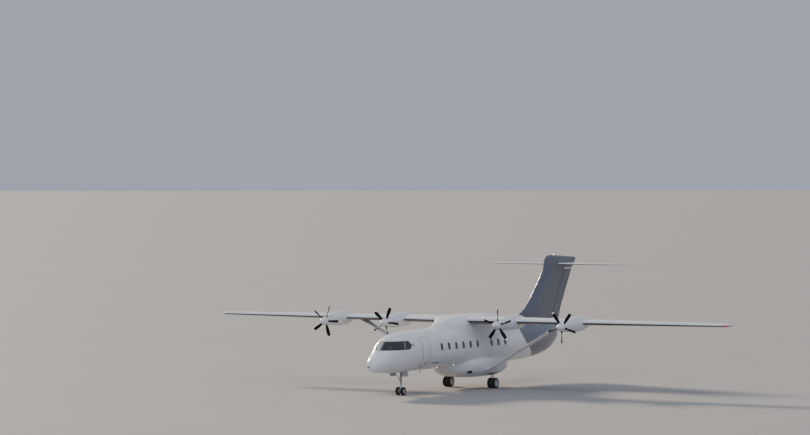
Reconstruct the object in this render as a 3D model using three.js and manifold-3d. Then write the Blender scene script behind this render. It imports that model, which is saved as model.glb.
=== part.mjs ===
// A strut-braced airliner with four propellers, parked on its wheels.
// Millimetres. +Z is up, the nose points to -Y and the port wing to +X. The ground is z = 0.
// A station is a distance behind a datum that lies 440 ahead of the nose tip.
// Port pieces are modelled and the starboard side mirrors them.
import * as THREE from "three";
import { mergeVertices } from "three/addons/utils/BufferGeometryUtils.js";
import Module from "manifold-3d";

const wasm = await Module();
wasm.setup();

// Driving dimensions
const NOSE_TIP = 440;
const TAIL_TIP = 22920; // station of the fin's rear upper corner
// Sides of each kind of round piece
const SIDES = {
  fuselage: 24, fairing: 20, nacelle: 16, strut: 10, spinner: 14, blade: 8,
  pin: 10, shaft: 12, tube: 8, wheel: 20, pad: 16,
};
const GAP = 0.3; // between pieces that rest on each other
const PIN_GAP = 0.6; // between a shaft and its bore
const MOVE_GAP = 10; // between a moving surface and the fixed one beside it
const RUDDER_GAP = 45; // below and above the rudder, whose ends rise and fall on its swept hinge
const BEYOND = 600; // how far a cutting body reaches past what it cuts
const WELD = 1e-3; // vertices closer than this are one

const NOSE_JOINT = 3620; // station of the seam between nose and cabin
const TAIL_JOINT = 14900; // station of the seam between cabin and tail
const ROUNDNESS = 2.3; // exponent of the fuselage's sections, 2 is an ellipse

// Wing: straight edges from root to tip, one hinge line for all its trailing surfaces
const WING_Z = 3800;
const WING_ROOT_X = 850;
const WING_TIP_X = 16000;
// Rounding of the tip, columns: x, share of the chord and thickness left.
const WING_TIP = [[15720, 1], [15900, 0.93], [15975, 0.8], [WING_TIP_X, 0.62]];
const WING_LEADING = { centre: 8650, tip: 9840 };
const WING_TRAILING = { centre: 11240, tip: 10990 };
const WING_THICKNESS = { centre: 0.172, tip: 0.165 };
const WING_HINGE = 10600;
const HINGE_PIN = { radius: 16, reach: 60, root: 25 };

// Tail surfaces
const TAILPLANE_Z = 6590;
const TAILPLANE_TIP_X = 4530;
const TAILPLANE_TIP = [[0, 1], [4380, 1], [4490, 0.88], [TAILPLANE_TIP_X, 0.66]];
const TAILPLANE_LEADING = { centre: 20540, tip: 20860 };
const TAILPLANE_TRAILING = { centre: 21900, tip: 21620 };
const TAILPLANE_THICKNESS = { centre: 0.1, tip: 0.1 };
const TAILPLANE_HINGE = 21370;
const FIN_THICKNESS = 0.09;
const FIN_CHORD = 4400;
const FILLET_HALF = 30; // half thickness of the dorsal fillet, reached this far behind its edge
const FILLET_NOSE = 200;
const RUDDER_FOOT = { station: 19880, z: 3500 };
const RUDDER_HEAD = { station: 21520, z: 6300 };

// Engines
const ENGINE_X = { inner: 3550, outer: 7460 };
const ENGINE_Z = 3620;
const NACELLE_FRONT = 7700;
const PROPELLER_STATION = 7590;
const BLADES = 5;
const MOTOR = { radius: 185, front: 7760, back: 8560 };
const SHAFT = { radius: 45, tip: 7602, root: 7780 };
const HUB = { radius: 150, front: -60, back: 80 };
const SHANK = 46;

// Landing gear
const NOSE_GEAR = {
  station: 3436, tyre: 220, width: 126, offset: 160, rim: 118, axle: 22, eye: 44, eyeHalf: 60,
};
const MAIN_GEAR = {
  station: 10800, x: 1420, tyre: 290, width: 190, offset: 135, rim: 190, axle: 28, eye: 56, eyeHalf: 29,
};
const MAIN_LEG = {
  upper: 56, lower: 27, collar: 730, top: 1120, brace: 24, braceFoot: 390, braceTop: 1000,
};
const NOSE_LEG = { radius: 56, foot: 560, boreTop: 720, piston: 38, collar: 790 };
// The brace's arms run from the collar up to a cross tube in the bay.
const NOSE_BRACE = {
  radius: 21, footX: 30, footBack: 20, headX: 318, headBack: 230, headZ: 1330, tube: 30,
};
const BAY = { front: 2960, back: 3600, halfWidth: 350, floor: 1000, ceiling: 1470 };
// Section of a bay door, x from the side of the bay and height, and its distance from the bay's ends.
const BAY_DOOR = [[-14, 1300], [0, 1300], [0, 1215], [66, 1010], [52, 1006], [-14, 1213]];
const BAY_DOOR_END = 40;
const JACK_PAD = {
  radius: 50, noseStation: 2300, noseZ: 1170, noseTop: 1300, wingX: 5000, wingStation: 9900, wingZ: 3560,
};

const WHITE = { color: 0xe9ebee, roughness: 0.3, metalness: 0 };
const SLATE = { color: 0x5b616e, roughness: 0.35, metalness: 0 };
const BLACK = { color: 0x16171a, roughness: 0.45, metalness: 0 };
const RUBBER = { color: 0x1b1b1d, roughness: 0.85, metalness: 0 };
const METAL = { color: 0xb4b8bd, roughness: 0.35, metalness: 0.8 };
const GLASS = { color: 0x20242c, roughness: 0.1, metalness: 0 };

// Fuselage sections. Columns: station, bottom, widest height, top, half width.
const FUSELAGE = [
  [NOSE_TIP, 1530, 1650, 1770, 60],
  [480, 1455, 1670, 1890, 200],
  [560, 1405, 1695, 1985, 310],
  [700, 1360, 1725, 2085, 425],
  [900, 1325, 1775, 2200, 535],
  [1100, 1300, 1830, 2315, 600],
  [1320, 1280, 1895, 2455, 655],
  [1550, 1262, 1965, 2675, 712],
  [1810, 1245, 2040, 2925, 775],
  [2050, 1230, 2095, 3080, 840],
  [2400, 1215, 2155, 3215, 925],
  [2900, 1212, 2210, 3310, 1035],
  [NOSE_JOINT, 1238, 2240, 3368, 1145],
  [4600, 1260, 2250, 3390, 1205],
  [5400, 1260, 2250, 3430, 1215],
  [12600, 1260, 2250, 3430, 1215],
  [14000, 1262, 2270, 3430, 1205],
  [TAIL_JOINT, 1280, 2290, 3430, 1185],
  [16000, 1325, 2335, 3430, 1125],
  [17130, 1400, 2390, 3422, 1010],
  [18000, 1500, 2450, 3404, 880],
  [18710, 1625, 2510, 3375, 745],
  [19400, 1830, 2590, 3325, 570],
  [19900, 2060, 2665, 3270, 420],
  [20300, 2330, 2750, 3200, 270],
  [20580, 2620, 2840, 3080, 110],
];

// The fairing that carries the wing over the cabin. Columns: station, top, half width, roundness.
const WING_FAIRING = [
  [6350, 3360, 200, 2.6],
  [6650, 3470, 330, 2.7],
  [7000, 3590, 460, 2.8],
  [7400, 3720, 600, 3],
  [7850, 3850, 760, 3.3],
  [8250, 3960, 920, 4],
  [8650, 4045, 1060, 5],
  [9200, 4060, 1105, 5],
  [11800, 4055, 1110, 5],
  [12800, 3990, 1090, 5],
  [13800, 3860, 1020, 5],
  [14800, 3690, 880, 5],
  [15600, 3540, 680, 5],
  [16200, 3400, 440, 5],
];
const FAIRING_FOOT = { widest: 2820, bottom: 2700 };

// The belly fairing that holds the main gear. Columns: station, bottom, widest height, top, half width.
const BELLY_FAIRING = [
  [7500, 1270, 1380, 1460, 240],
  [7750, 1060, 1310, 1490, 480],
  [8000, 895, 1310, 1570, 730],
  [8300, 785, 1330, 1640, 940],
  [8700, 705, 1360, 1710, 1200],
  [9200, 645, 1390, 1770, 1470],
  [9700, 615, 1410, 1810, 1690],
  [10200, 600, 1430, 1845, 1820],
  [10700, 597, 1440, 1855, 1860],
  [11200, 605, 1440, 1850, 1840],
  [11700, 630, 1435, 1820, 1750],
  [12200, 685, 1420, 1770, 1560],
  [12700, 800, 1410, 1690, 1270],
  [13100, 970, 1410, 1600, 960],
  [13400, 1180, 1430, 1520, 640],
  [13550, 1280, 1430, 1500, 420],
];
const BELLY_ROUNDNESS = 2.6;

// Nacelle sections. Columns: station, bottom, widest height, top, half width.
const NACELLE = [
  [NACELLE_FRONT, 3392, ENGINE_Z, 3848, 228],
  [7880, 3358, 3630, 3920, 282],
  [8150, 3332, 3650, 3995, 330],
  [8500, 3318, 3675, 4060, 366],
  [8950, 3315, 3700, 4118, 385],
  [9450, 3330, 3720, 4140, 382],
  [9850, 3380, 3740, 4112, 345],
  [10200, 3462, 3760, 4042, 275],
  [10440, 3560, 3780, 3968, 185],
];
const NACELLE_ROUNDNESS = 2.1;

// Spinner profile, columns: outer radius, y from the blades' plane.
const SPINNER = [
  [0, -440], [70, -412], [150, -305], [213, -140], [238, 0], [240, 88],
];
const SPINNER_WALL = 16;
const HOLE = { from: 180, to: 290 }; // radii between which a blade's root passes the spinner

// Blade sections, columns: radius, chord, thickness, pitch from the plane of rotation.
const BLADE = [
  [120, 2 * SHANK, 2 * SHANK, 0],
  [252, 2 * SHANK, 2 * SHANK, 0],
  [350, 158, 42, 55],
  [560, 196, 28, 46],
  [740, 182, 20, 38],
  [900, 132, 12, 31],
  [950, 64, 7, 29],
];

// Fin sections by height, its dorsal fillet in front. Columns: height, leading station, trailing station.
const FIN = [
  [3000, 15050, 20560],
  [3430, 15300, 20810],
  [3720, 15950, 20930],
  [4090, 16740, 21090],
  [4620, 17440, 21402],
  [5160, 18000, 21720],
  [5760, 18580, 22088],
  [6150, 18920, 22328],
  [6500, 19110, 22543],
  [6880, 19200, 22791],
  [7060, 19450, TAIL_TIP],
  [7140, 19900, 22860],
];
const FIN_TOP_FALL = 0.06; // fall of the top edge towards the back

// The wing's brace. Columns: x, z, middle station, chord, thickness.
const STRUT = [
  [1400, 960, 10100, 900, 150],
  [1700, 1110, 10080, 820, 140],
  [2000, 1270, 10060, 720, 130],
  [2600, 1590, 10010, 640, 118],
  [5750, 3367, 9800, 560, 110],
  [6050, 3525, 9770, 680, 120],
  [6420, 3720, 9740, 820, 140],
];

// Trailing surfaces of the port wing between fixed ribs. Columns: name, inner x, outer x.
const WING_SURFACES = [
  ["flap_inner", 1400, 5310],
  ["flap_outer", 5390, 10210],
  ["aileron", 10290, 15560],
];
const ELEVATOR_SPAN = { inner: 200, outer: 4330 };

// Angle of each propeller's first blade, seen from in front, from port (+X) towards up.
const FIRST_BLADE = {
  port: { inner: 18, outer: 54 },
  starboard: { inner: 40, outer: 37 },
};
// The outer propellers turn against the inner ones, so their blades lean the other way.
const HAND = { inner: 1, outer: -1 };

// Windscreen band and doors as outlines of station and height, seen from the side.
const GLAZING_OUTLINE = [
  [NOSE_TIP, 2462], [2600, 2478], [2757, 2498], [2945, 2665], [2838, 2925], [1800, 2915], [NOSE_TIP, 2915],
];
const GLAZING_DEPTH = 28;
const PASSENGER_DOOR = { front: 3860, back: 4500, bottom: 1480, top: 3080 };
const SERVICE_DOOR = { front: 3860, back: 4440, bottom: 1620, top: 3000 };
const DOOR_DEPTH = 40;
const DOOR_CORNER = 120;
const DOOR_INNER_X = 300; // the doors' cutting bodies start here, beside the middle plane

const atStation = (station) => station - (NOSE_TIP + TAIL_TIP) / 2;
const between = (a, b, part) => a + (b - a) * part;
const material = (look) => new THREE.MeshStandardMaterial(look);

// Solids

function welded(geometry) {
  const bare = geometry.clone();
  bare.deleteAttribute("normal");
  bare.deleteAttribute("uv");
  return mergeVertices(bare, WELD);
}

function solid(geometry) {
  const merged = welded(geometry);
  return new wasm.Manifold(
    new wasm.Mesh({
      numProp: 3,
      vertProperties: new Float32Array(merged.attributes.position.array),
      triVerts: new Uint32Array(merged.index.array),
    }),
  );
}

function geometryOf(body) {
  const mesh = body.getMesh();
  const geometry = new THREE.BufferGeometry();
  geometry.setAttribute("position", new THREE.BufferAttribute(mesh.vertProperties, 3));
  geometry.setIndex(new THREE.BufferAttribute(mesh.triVerts, 1));
  geometry.computeVertexNormals();
  return geometry;
}

const joined = (first, ...others) => others.reduce((sum, body) => sum.add(body), first);
const cut = (first, ...others) => others.reduce((rest, body) => rest.subtract(body), first);

// A closed solid through rings of equally many [x, y, z] points, capped at both ends.
function loft(rings) {
  const count = rings[0].length;
  const points = rings.flat();
  const faces = [];
  for (let ring = 0; ring + 1 < rings.length; ring++) {
    for (let i = 0; i < count; i++) {
      const a = ring * count + i;
      const b = ring * count + ((i + 1) % count);
      faces.push([a, b, b + count], [a, b + count, a + count]);
    }
  }
  for (const end of [0, rings.length - 1]) {
    const middle = points.length;
    points.push([0, 1, 2].map((k) => rings[end].reduce((sum, p) => sum + p[k], 0) / count));
    for (let i = 0; i < count; i++) {
      const a = end * count + i;
      const b = end * count + ((i + 1) % count);
      faces.push(end === 0 ? [b, a, middle] : [a, b, middle]);
    }
  }
  return solid(outward(points, faces));
}

// The faces turned, if need be, so that they enclose a positive volume.
function outward(points, faces) {
  const triple = ([a, b, c]) =>
    points[a][0] * (points[b][1] * points[c][2] - points[b][2] * points[c][1]) +
    points[a][1] * (points[b][2] * points[c][0] - points[b][0] * points[c][2]) +
    points[a][2] * (points[b][0] * points[c][1] - points[b][1] * points[c][0]);
  const volume = faces.reduce((sum, face) => sum + triple(face), 0);
  const turned = volume < 0 ? faces.map(([a, b, c]) => [a, c, b]) : faces;
  const geometry = new THREE.BufferGeometry();
  geometry.setAttribute("position", new THREE.Float32BufferAttribute(points.flat(), 3));
  geometry.setIndex(turned.flat());
  return geometry;
}

// The radius of a bore with flat sides that a shaft turns in with the pin gap all round.
const boreRadius = (radius, sides) => (radius + PIN_GAP) / Math.cos(Math.PI / sides);

function cylinder(radius, from, to, segments) {
  const start = new THREE.Vector3(...from);
  const end = new THREE.Vector3(...to);
  const along = end.clone().sub(start);
  const geometry = new THREE.CylinderGeometry(radius, radius, along.length(), segments);
  const turn = new THREE.Quaternion().setFromUnitVectors(
    new THREE.Vector3(0, 1, 0),
    along.clone().normalize(),
  );
  geometry.applyQuaternion(turn);
  geometry.translate(...start.add(end).multiplyScalar(0.5).toArray());
  return solid(geometry);
}

function block([x0, x1], [y0, y1], [z0, z1]) {
  const geometry = new THREE.BoxGeometry(x1 - x0, y1 - y0, z1 - z0);
  geometry.translate((x0 + x1) / 2, (y0 + y1) / 2, (z0 + z1) / 2);
  return solid(geometry);
}

// An outline of [station, height] points, extruded from one x to another.
function sidePrism(outline, fromX, toX) {
  const shape = new THREE.Shape(outline.map(([s, z]) => new THREE.Vector2(atStation(s), z)));
  const geometry = new THREE.ExtrudeGeometry(shape, { depth: toX - fromX, bevelEnabled: false });
  geometry.rotateX(Math.PI / 2);
  geometry.rotateZ(Math.PI / 2);
  geometry.translate(fromX, 0, 0);
  return solid(geometry);
}

// An outline of [x, station] points, extruded from one height to another.
function planPrism(outline, fromZ, toZ) {
  const shape = new THREE.Shape(outline.map(([x, s]) => new THREE.Vector2(x, atStation(s))));
  const geometry = new THREE.ExtrudeGeometry(shape, { depth: toZ - fromZ, bevelEnabled: false });
  geometry.translate(0, 0, fromZ);
  return solid(geometry);
}

// A rounded rectangle as an outline.
function roundedOutline({ front, back, bottom, top }, corner, grow = 0) {
  const points = [];
  const centres = [
    [back - corner, top - corner, 0],
    [front + corner, top - corner, 90],
    [front + corner, bottom + corner, 180],
    [back - corner, bottom + corner, 270],
  ];
  for (const [s, z, start] of centres) {
    for (const step of [0, 45, 90]) {
      const angle = THREE.MathUtils.degToRad(start + step);
      const radius = corner + grow;
      points.push([s + radius * Math.cos(angle), z + radius * Math.sin(angle)]);
    }
  }
  return points;
}

// A solid of revolution about x from [radius, x] points that start and end on the axis, or close.
function turnedAboutX(profile, segments) {
  const outline = profile.map(([r, x]) => new THREE.Vector2(r, x));
  const geometry = new THREE.LatheGeometry(outline, segments);
  geometry.rotateZ(-Math.PI / 2);
  return facingOut(geometry);
}

function turnedAboutY(profile, segments) {
  const outline = profile.map(([r, y]) => new THREE.Vector2(r, y));
  return facingOut(new THREE.LatheGeometry(outline, segments));
}

function facingOut(geometry) {
  const merged = welded(geometry);
  const at = merged.attributes.position;
  const points = Array.from({ length: at.count }, (_, i) => [at.getX(i), at.getY(i), at.getZ(i)]);
  const faces = [];
  for (let i = 0; i < merged.index.count; i += 3) {
    const face = [0, 1, 2].map((k) => merged.index.getX(i + k));
    if (new Set(face).size === 3) faces.push(face);
  }
  return solid(outward(points, faces));
}

// Sections

// A rounded section across the fuselage, wider or narrower by grow.
function bodySection([station, bottom, widest, top, half], roundness, count, grow) {
  return Array.from({ length: count }, (_, i) => {
    const angle = (2 * Math.PI * i) / count;
    const across = Math.sign(Math.cos(angle)) * Math.abs(Math.cos(angle)) ** (2 / roundness);
    const up = Math.sign(Math.sin(angle)) * Math.abs(Math.sin(angle)) ** (2 / roundness);
    const height = up > 0 ? top - widest + grow : widest - bottom + grow;
    return [(half + grow) * across, atStation(station), widest + height * up];
  });
}

function fuselageBetween(from, to, grow = 0) {
  const rows = FUSELAGE.filter(([station]) => station >= from && station <= to);
  return loft(rows.map((row) => bodySection(row, ROUNDNESS, SIDES.fuselage, grow)));
}

const TAIL_END = FUSELAGE.at(-1)[0];
const fuselageCutter = fuselageBetween(NOSE_TIP, TAIL_END, GAP);

// Half thickness of a symmetric aerofoil, as a share of its chord, at a part of the chord.
function halfThickness(part, thickness) {
  const series =
    0.2969 * Math.sqrt(part) - 0.126 * part - 0.3516 * part ** 2 + 0.2843 * part ** 3 - 0.1015 * part ** 4;
  return 5 * thickness * series;
}

const CHORD_PARTS = [1, 0.75, 0.5, 0.32, 0.17, 0.07, 0.02, 0];

// Leading and trailing stations and thickness of a straight tapered surface at x.
function planform(leading, trailing, thickness, tipX) {
  return (x) => {
    const part = Math.abs(x) / tipX;
    const front = between(leading.centre, leading.tip, part);
    const chord = between(trailing.centre, trailing.tip, part) - front;
    return { front, chord, thickness: between(thickness.centre, thickness.tip, part) };
  };
}

const wingAt = planform(WING_LEADING, WING_TRAILING, WING_THICKNESS, WING_TIP_X);
const tailplaneAt = planform(
  TAILPLANE_LEADING, TAILPLANE_TRAILING, TAILPLANE_THICKNESS, TAILPLANE_TIP_X,
);

// One aerofoil section across x, its chord and thickness scaled about its middle towards a tip.
function aerofoil(surface, x, z, grow = 0, scale = 1) {
  const { front, chord, thickness } = surface(x);
  const start = front + (chord * (1 - scale)) / 2 - grow;
  const length = chord * scale + 2 * grow;
  const point = (part, side) => {
    const half = halfThickness(part, thickness * scale) * chord * scale + grow;
    return [x, atStation(start + part * length), z + side * half];
  };
  const upper = CHORD_PARTS.map((part) => point(part, 1));
  const lower = CHORD_PARTS.toReversed().slice(grow > 0 ? 0 : 1).map((part) => point(part, -1));
  return [...upper, ...lower];
}

// Half thickness of a surface where its hinge line crosses it.
function hingeRadius(surface, x, hinge) {
  const { front, chord, thickness } = surface(x);
  return halfThickness((hinge - front) / chord, thickness) * chord;
}

// A trailing surface with a round nose on its hinge line, and bores in its ends for the pins.
function trailingSurface(surface, hinge, z, inner, outer) {
  const ring = (x) => {
    const { front, chord, thickness } = surface(x);
    const nose = hingeRadius(surface, x, hinge);
    const half = (station) => halfThickness((station - front) / chord, thickness) * chord;
    const end = front + chord;
    const middle = (hinge + end) / 2;
    const round = [90, 120, 150, 180, 210, 240, 270].map((angle) => {
      const turn = THREE.MathUtils.degToRad(angle);
      return [hinge + nose * Math.cos(turn), nose * Math.sin(turn)];
    });
    const outline = [
      [end, half(end)], [middle, half(middle)], ...round, [middle, -half(middle)], [end, -half(end)],
    ];
    return outline.map(([station, up]) => [x, atStation(station), z + up]);
  };
  const y = atStation(hinge);
  const radius = boreRadius(HINGE_PIN.radius, SIDES.pin);
  const bores = [
    cylinder(radius, [inner - MOVE_GAP, y, z], [inner + HINGE_PIN.reach, y, z], SIDES.pin),
    cylinder(radius, [outer - HINGE_PIN.reach, y, z], [outer + MOVE_GAP, y, z], SIDES.pin),
  ];
  return cut(loft([ring(inner), ring(outer)]), ...bores);
}

// The space that a trailing surface takes out of the fixed surface in front of it.
function surfaceSpace(surface, hinge, inner, outer) {
  const { front, chord } = surface(inner);
  const beyond = front + chord + BEYOND;
  const face = (x) => hinge - hingeRadius(surface, x, hinge) - MOVE_GAP;
  const from = inner - MOVE_GAP;
  const to = outer + MOVE_GAP;
  return [[from, face(inner)], [to, face(outer)], [to, beyond], [from, beyond]];
}

function hingePins(hinge, z, inner, outer) {
  const y = atStation(hinge);
  const deep = HINGE_PIN.reach - GAP;
  const out = MOVE_GAP + HINGE_PIN.root;
  return [
    cylinder(HINGE_PIN.radius, [inner - out, y, z], [inner + deep, y, z], SIDES.pin),
    cylinder(HINGE_PIN.radius, [outer - deep, y, z], [outer + out, y, z], SIDES.pin),
  ];
}

// Fuselage and fairings

// The skin of the given depth inside an outline seen from the side.
function skinPanel(body, inside, outline, fromX, toX) {
  return cut(body.intersect(sidePrism(outline, fromX, toX)), inside);
}

function noseWithGlazing() {
  const nose = fuselageBetween(NOSE_TIP, NOSE_JOINT);
  const inside = fuselageBetween(NOSE_TIP, NOSE_JOINT, -GLAZING_DEPTH);
  const deeper = fuselageBetween(NOSE_TIP, NOSE_JOINT, -GLAZING_DEPTH - GAP);
  const reach = BAY.halfWidth + 2 * BEYOND;
  const glazing = skinPanel(nose, inside, shrinkOutline(GLAZING_OUTLINE, GAP), -reach, reach);
  const opening = cut(sidePrism(GLAZING_OUTLINE, -reach, reach), deeper);
  const bay = block(
    [-BAY.halfWidth, BAY.halfWidth],
    [atStation(BAY.front), atStation(BAY.back)],
    [BAY.floor, BAY.ceiling],
  );
  const pad = cylinder(
    JACK_PAD.radius,
    [0, atStation(JACK_PAD.noseStation), JACK_PAD.noseZ],
    [0, atStation(JACK_PAD.noseStation), JACK_PAD.noseTop],
    SIDES.pad,
  );
  return { nose: joined(cut(nose, opening, bay), pad), glazing };
}

// The outline moved inwards by a small distance, towards its middle.
function shrinkOutline(outline, by) {
  const middle = [0, 1].map((k) => outline.reduce((sum, p) => sum + p[k], 0) / outline.length);
  return outline.map((p) => p.map((v, k) => v - Math.sign(v - middle[k]) * by));
}

function cabinWithDoors() {
  const cabin = fuselageBetween(NOSE_JOINT, TAIL_JOINT);
  const inside = fuselageBetween(NOSE_JOINT, TAIL_JOINT, -DOOR_DEPTH);
  const deeper = fuselageBetween(NOSE_JOINT, TAIL_JOINT, -DOOR_DEPTH - GAP);
  const near = DOOR_INNER_X;
  const far = DOOR_INNER_X + 2 * BEYOND;
  const panel = (door, fromX, toX) =>
    skinPanel(cabin, inside, roundedOutline(door, DOOR_CORNER), fromX, toX);
  const opening = (door, fromX, toX) =>
    cut(sidePrism(roundedOutline(door, DOOR_CORNER, GAP), fromX, toX), deeper);
  return {
    cabin: cut(cabin, opening(PASSENGER_DOOR, near, far), opening(SERVICE_DOOR, -far, -near)),
    passengerDoor: panel(PASSENGER_DOOR, near, far),
    serviceDoor: panel(SERVICE_DOOR, -far, -near),
  };
}

function fairingBody(grow = 0) {
  const rings = WING_FAIRING.map(([station, top, half, roundness]) =>
    bodySection(
      [station, FAIRING_FOOT.bottom, FAIRING_FOOT.widest, top, half],
      roundness, SIDES.fairing, grow,
    ),
  );
  return loft(rings);
}

function wingFairing() {
  const port = wingBody(GAP);
  return cut(fairingBody(), fuselageCutter, port, mirrored(port));
}

// A body mirrored in the plane x = 0.
function mirrored(body) {
  const geometry = geometryOf(body);
  geometry.scale(-1, 1, 1);
  return facingOut(geometry);
}

function bellyHalf(grow = 0) {
  const rings = BELLY_FAIRING.map((row) =>
    bodySection(row, BELLY_ROUNDNESS, SIDES.fuselage, grow).filter(([x]) => x > 1),
  );
  const closed = rings.map((ring) => {
    const sorted = ring.toSorted((a, b) => a[2] - b[2]);
    const lowest = sorted[0];
    const highest = sorted.at(-1);
    return [[GAP / 2, lowest[1], lowest[2]], ...sorted, [GAP / 2, highest[1], highest[2]]];
  });
  return loft(closed);
}

// Wing

function wingBody(grow = 0) {
  const rings = [
    aerofoil(wingAt, WING_ROOT_X - grow, WING_Z, grow),
    ...WING_TIP.map(([x, scale]) => aerofoil(wingAt, x, WING_Z, grow, scale)),
  ];
  return loft(rings);
}

function portWing() {
  const spaces = WING_SURFACES.map(([, inner, outer]) =>
    planPrism(surfaceSpace(wingAt, WING_HINGE, inner, outer), WING_Z - BEYOND, WING_Z + BEYOND),
  );
  const pins = WING_SURFACES.flatMap(([, inner, outer]) =>
    hingePins(WING_HINGE, WING_Z, inner, outer),
  );
  const y = atStation(JACK_PAD.wingStation);
  const pad = cylinder(
    JACK_PAD.radius, [JACK_PAD.wingX, y, JACK_PAD.wingZ], [JACK_PAD.wingX, y, WING_Z], SIDES.pad,
  );
  return joined(cut(wingBody(), ...spaces), ...pins, pad);
}

function portStrut() {
  const slope = Math.atan2(STRUT.at(-1)[1] - STRUT[0][1], STRUT.at(-1)[0] - STRUT[0][0]);
  const rings = STRUT.map(([x, z, station, chord, thickness]) =>
    Array.from({ length: SIDES.strut }, (_, i) => {
      const angle = (2 * Math.PI * i) / SIDES.strut;
      const along = (chord / 2) * Math.cos(angle);
      const off = (thickness / 2) * Math.sin(angle) * (1 - 0.35 * Math.cos(angle));
      return [x - off * Math.sin(slope), atStation(station) + along, z + off * Math.cos(slope)];
    }),
  );
  return cut(loft(rings), bellyHalf(GAP), wingBody(GAP));
}

// Engines and propellers, modelled at x = 0

function nacelle(engineX) {
  const shell = loft(NACELLE.map((row) => bodySection(row, NACELLE_ROUNDNESS, SIDES.nacelle, 0)));
  const wing = wingBody(GAP).translate([-engineX, 0, 0]);
  const pocket = cylinder(
    MOTOR.radius + GAP * 2,
    [0, atStation(NACELLE_FRONT - 50), ENGINE_Z],
    [0, atStation(MOTOR.back + GAP), ENGINE_Z],
    SIDES.shaft,
  );
  return cut(shell, pocket, wing);
}

function motor() {
  const y = atStation;
  return joined(
    cylinder(MOTOR.radius, [0, y(MOTOR.front), ENGINE_Z], [0, y(MOTOR.back), ENGINE_Z], SIDES.shaft),
    cylinder(SHAFT.radius, [0, y(SHAFT.tip), ENGINE_Z], [0, y(SHAFT.root), ENGINE_Z], SIDES.shaft),
  );
}

function spinner(angles) {
  const wallShift = (r) => (r < HOLE.from ? SPINNER_WALL : 0);
  const inner = SPINNER.slice(1).map(([r, y]) => [r - SPINNER_WALL, y + wallShift(r)]);
  const nose = [0, SPINNER[0][1] + 3 * SPINNER_WALL];
  const shell = turnedAboutY([...SPINNER, ...inner.toReversed(), nose], SIDES.spinner);
  const width = 2 * SHANK + 4 * GAP;
  const holes = angles.map((angle) =>
    bladeLoft([[HOLE.from, width, width, 0], [HOLE.to, width, width, 0]], angle),
  );
  return cut(shell, ...holes);
}

// A loft through blade sections, standing out at an angle.
function bladeLoft(sections, angle) {
  const rings = sections.map(([radius, chord, thickness, pitch]) => {
    const tilt = THREE.MathUtils.degToRad(pitch);
    return Array.from({ length: SIDES.blade }, (_, i) => {
      const turn = (2 * Math.PI * i) / SIDES.blade;
      const along = (chord / 2) * Math.cos(turn);
      const off = (thickness / 2) * Math.sin(turn);
      return [
        radius,
        along * Math.sin(tilt) + off * Math.cos(tilt),
        along * Math.cos(tilt) - off * Math.sin(tilt),
      ];
    });
  });
  const geometry = geometryOf(loft(rings));
  geometry.rotateY(-THREE.MathUtils.degToRad(angle));
  return solid(geometry);
}

function bladesAndHub(angles, hand) {
  const sections = BLADE.map(([radius, chord, thickness, pitch]) => [radius, chord, thickness, hand * pitch]);
  const hub = cylinder(HUB.radius, [0, HUB.front, 0], [0, HUB.back, 0], SIDES.shaft);
  const radius = boreRadius(SHAFT.radius, SIDES.shaft);
  const bottom = SHAFT.tip - PROPELLER_STATION - GAP;
  const bore = cylinder(radius, [0, bottom, 0], [0, HUB.back + 10, 0], SIDES.shaft);
  return cut(joined(hub, ...angles.map((angle) => bladeLoft(sections, angle))), bore);
}

const bladeAngles = (first) => Array.from({ length: BLADES }, (_, i) => first + (360 / BLADES) * i);

// Tail surfaces

const rudderSlope = (RUDDER_HEAD.station - RUDDER_FOOT.station) / (RUDDER_HEAD.z - RUDDER_FOOT.z);
const rudderHinge = (z) => RUDDER_FOOT.station + (z - RUDDER_FOOT.z) * rudderSlope;

// Leading and trailing stations of the fin at a height.
function finAt(z) {
  const above = FIN.findIndex(([height]) => height > z);
  const [low, high] = [FIN[above - 1], FIN[above]];
  const part = (z - low[0]) / (high[0] - low[0]);
  return { front: between(low[1], high[1], part), back: between(low[2], high[2], part) };
}

// Half thickness of the fin. Its fillet stays thin in front of the longest aerofoil chord.
function finHalf(z, station) {
  const { front, back } = finAt(z);
  const chord = Math.min(back - front, FIN_CHORD);
  const part = Math.max(0, 1 - (back - station) / chord);
  const thin = FILLET_HALF * Math.sqrt(Math.min(1, (station - front) / FILLET_NOSE));
  return Math.max(thin, halfThickness(part, FIN_THICKNESS) * chord);
}

function fin() {
  const parts = [0, 0.015, 0.06, 0.14, 0.25, 0.4, 0.6, 0.8, 1];
  const rings = FIN.map(([z, front, back], row) => {
    const top = row === FIN.length - 1;
    const chord = back - front;
    const side = (sign) => (part) => {
      const station = front + part * chord;
      const thickness = top ? 0.3 : 1;
      const half = Math.max(finHalf(Math.min(z, 7100), station), 3) * thickness;
      const fall = z > 6000 ? FIN_TOP_FALL * (station - front) * ((z - 6000) / 1140) : 0;
      return [sign * half * (part === 0 ? 0 : 1), atStation(station), z - fall];
    };
    return [...parts.map(side(1)), ...parts.toReversed().slice(0, -1).map(side(-1))];
  });
  return cut(loft(rings), fuselageCutter, rudderSpace(), tailplaneBody(GAP), fairingBody(GAP));
}

const finHingeRadius = (z) => finHalf(z, rudderHinge(z));

// The space behind the fin's spar that the rudder takes.
function rudderSpace() {
  const low = RUDDER_FOOT.z - RUDDER_GAP;
  const high = RUDDER_HEAD.z + RUDDER_GAP;
  const behind = TAIL_TIP + BEYOND;
  const face = (z) => rudderHinge(z) - finHingeRadius(Math.min(z, RUDDER_HEAD.z)) * 1.2 - MOVE_GAP;
  const outline = [[face(low), low], [face(high), high], [behind, high], [behind, low]];
  return sidePrism(outline, -BEYOND, BEYOND);
}

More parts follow.
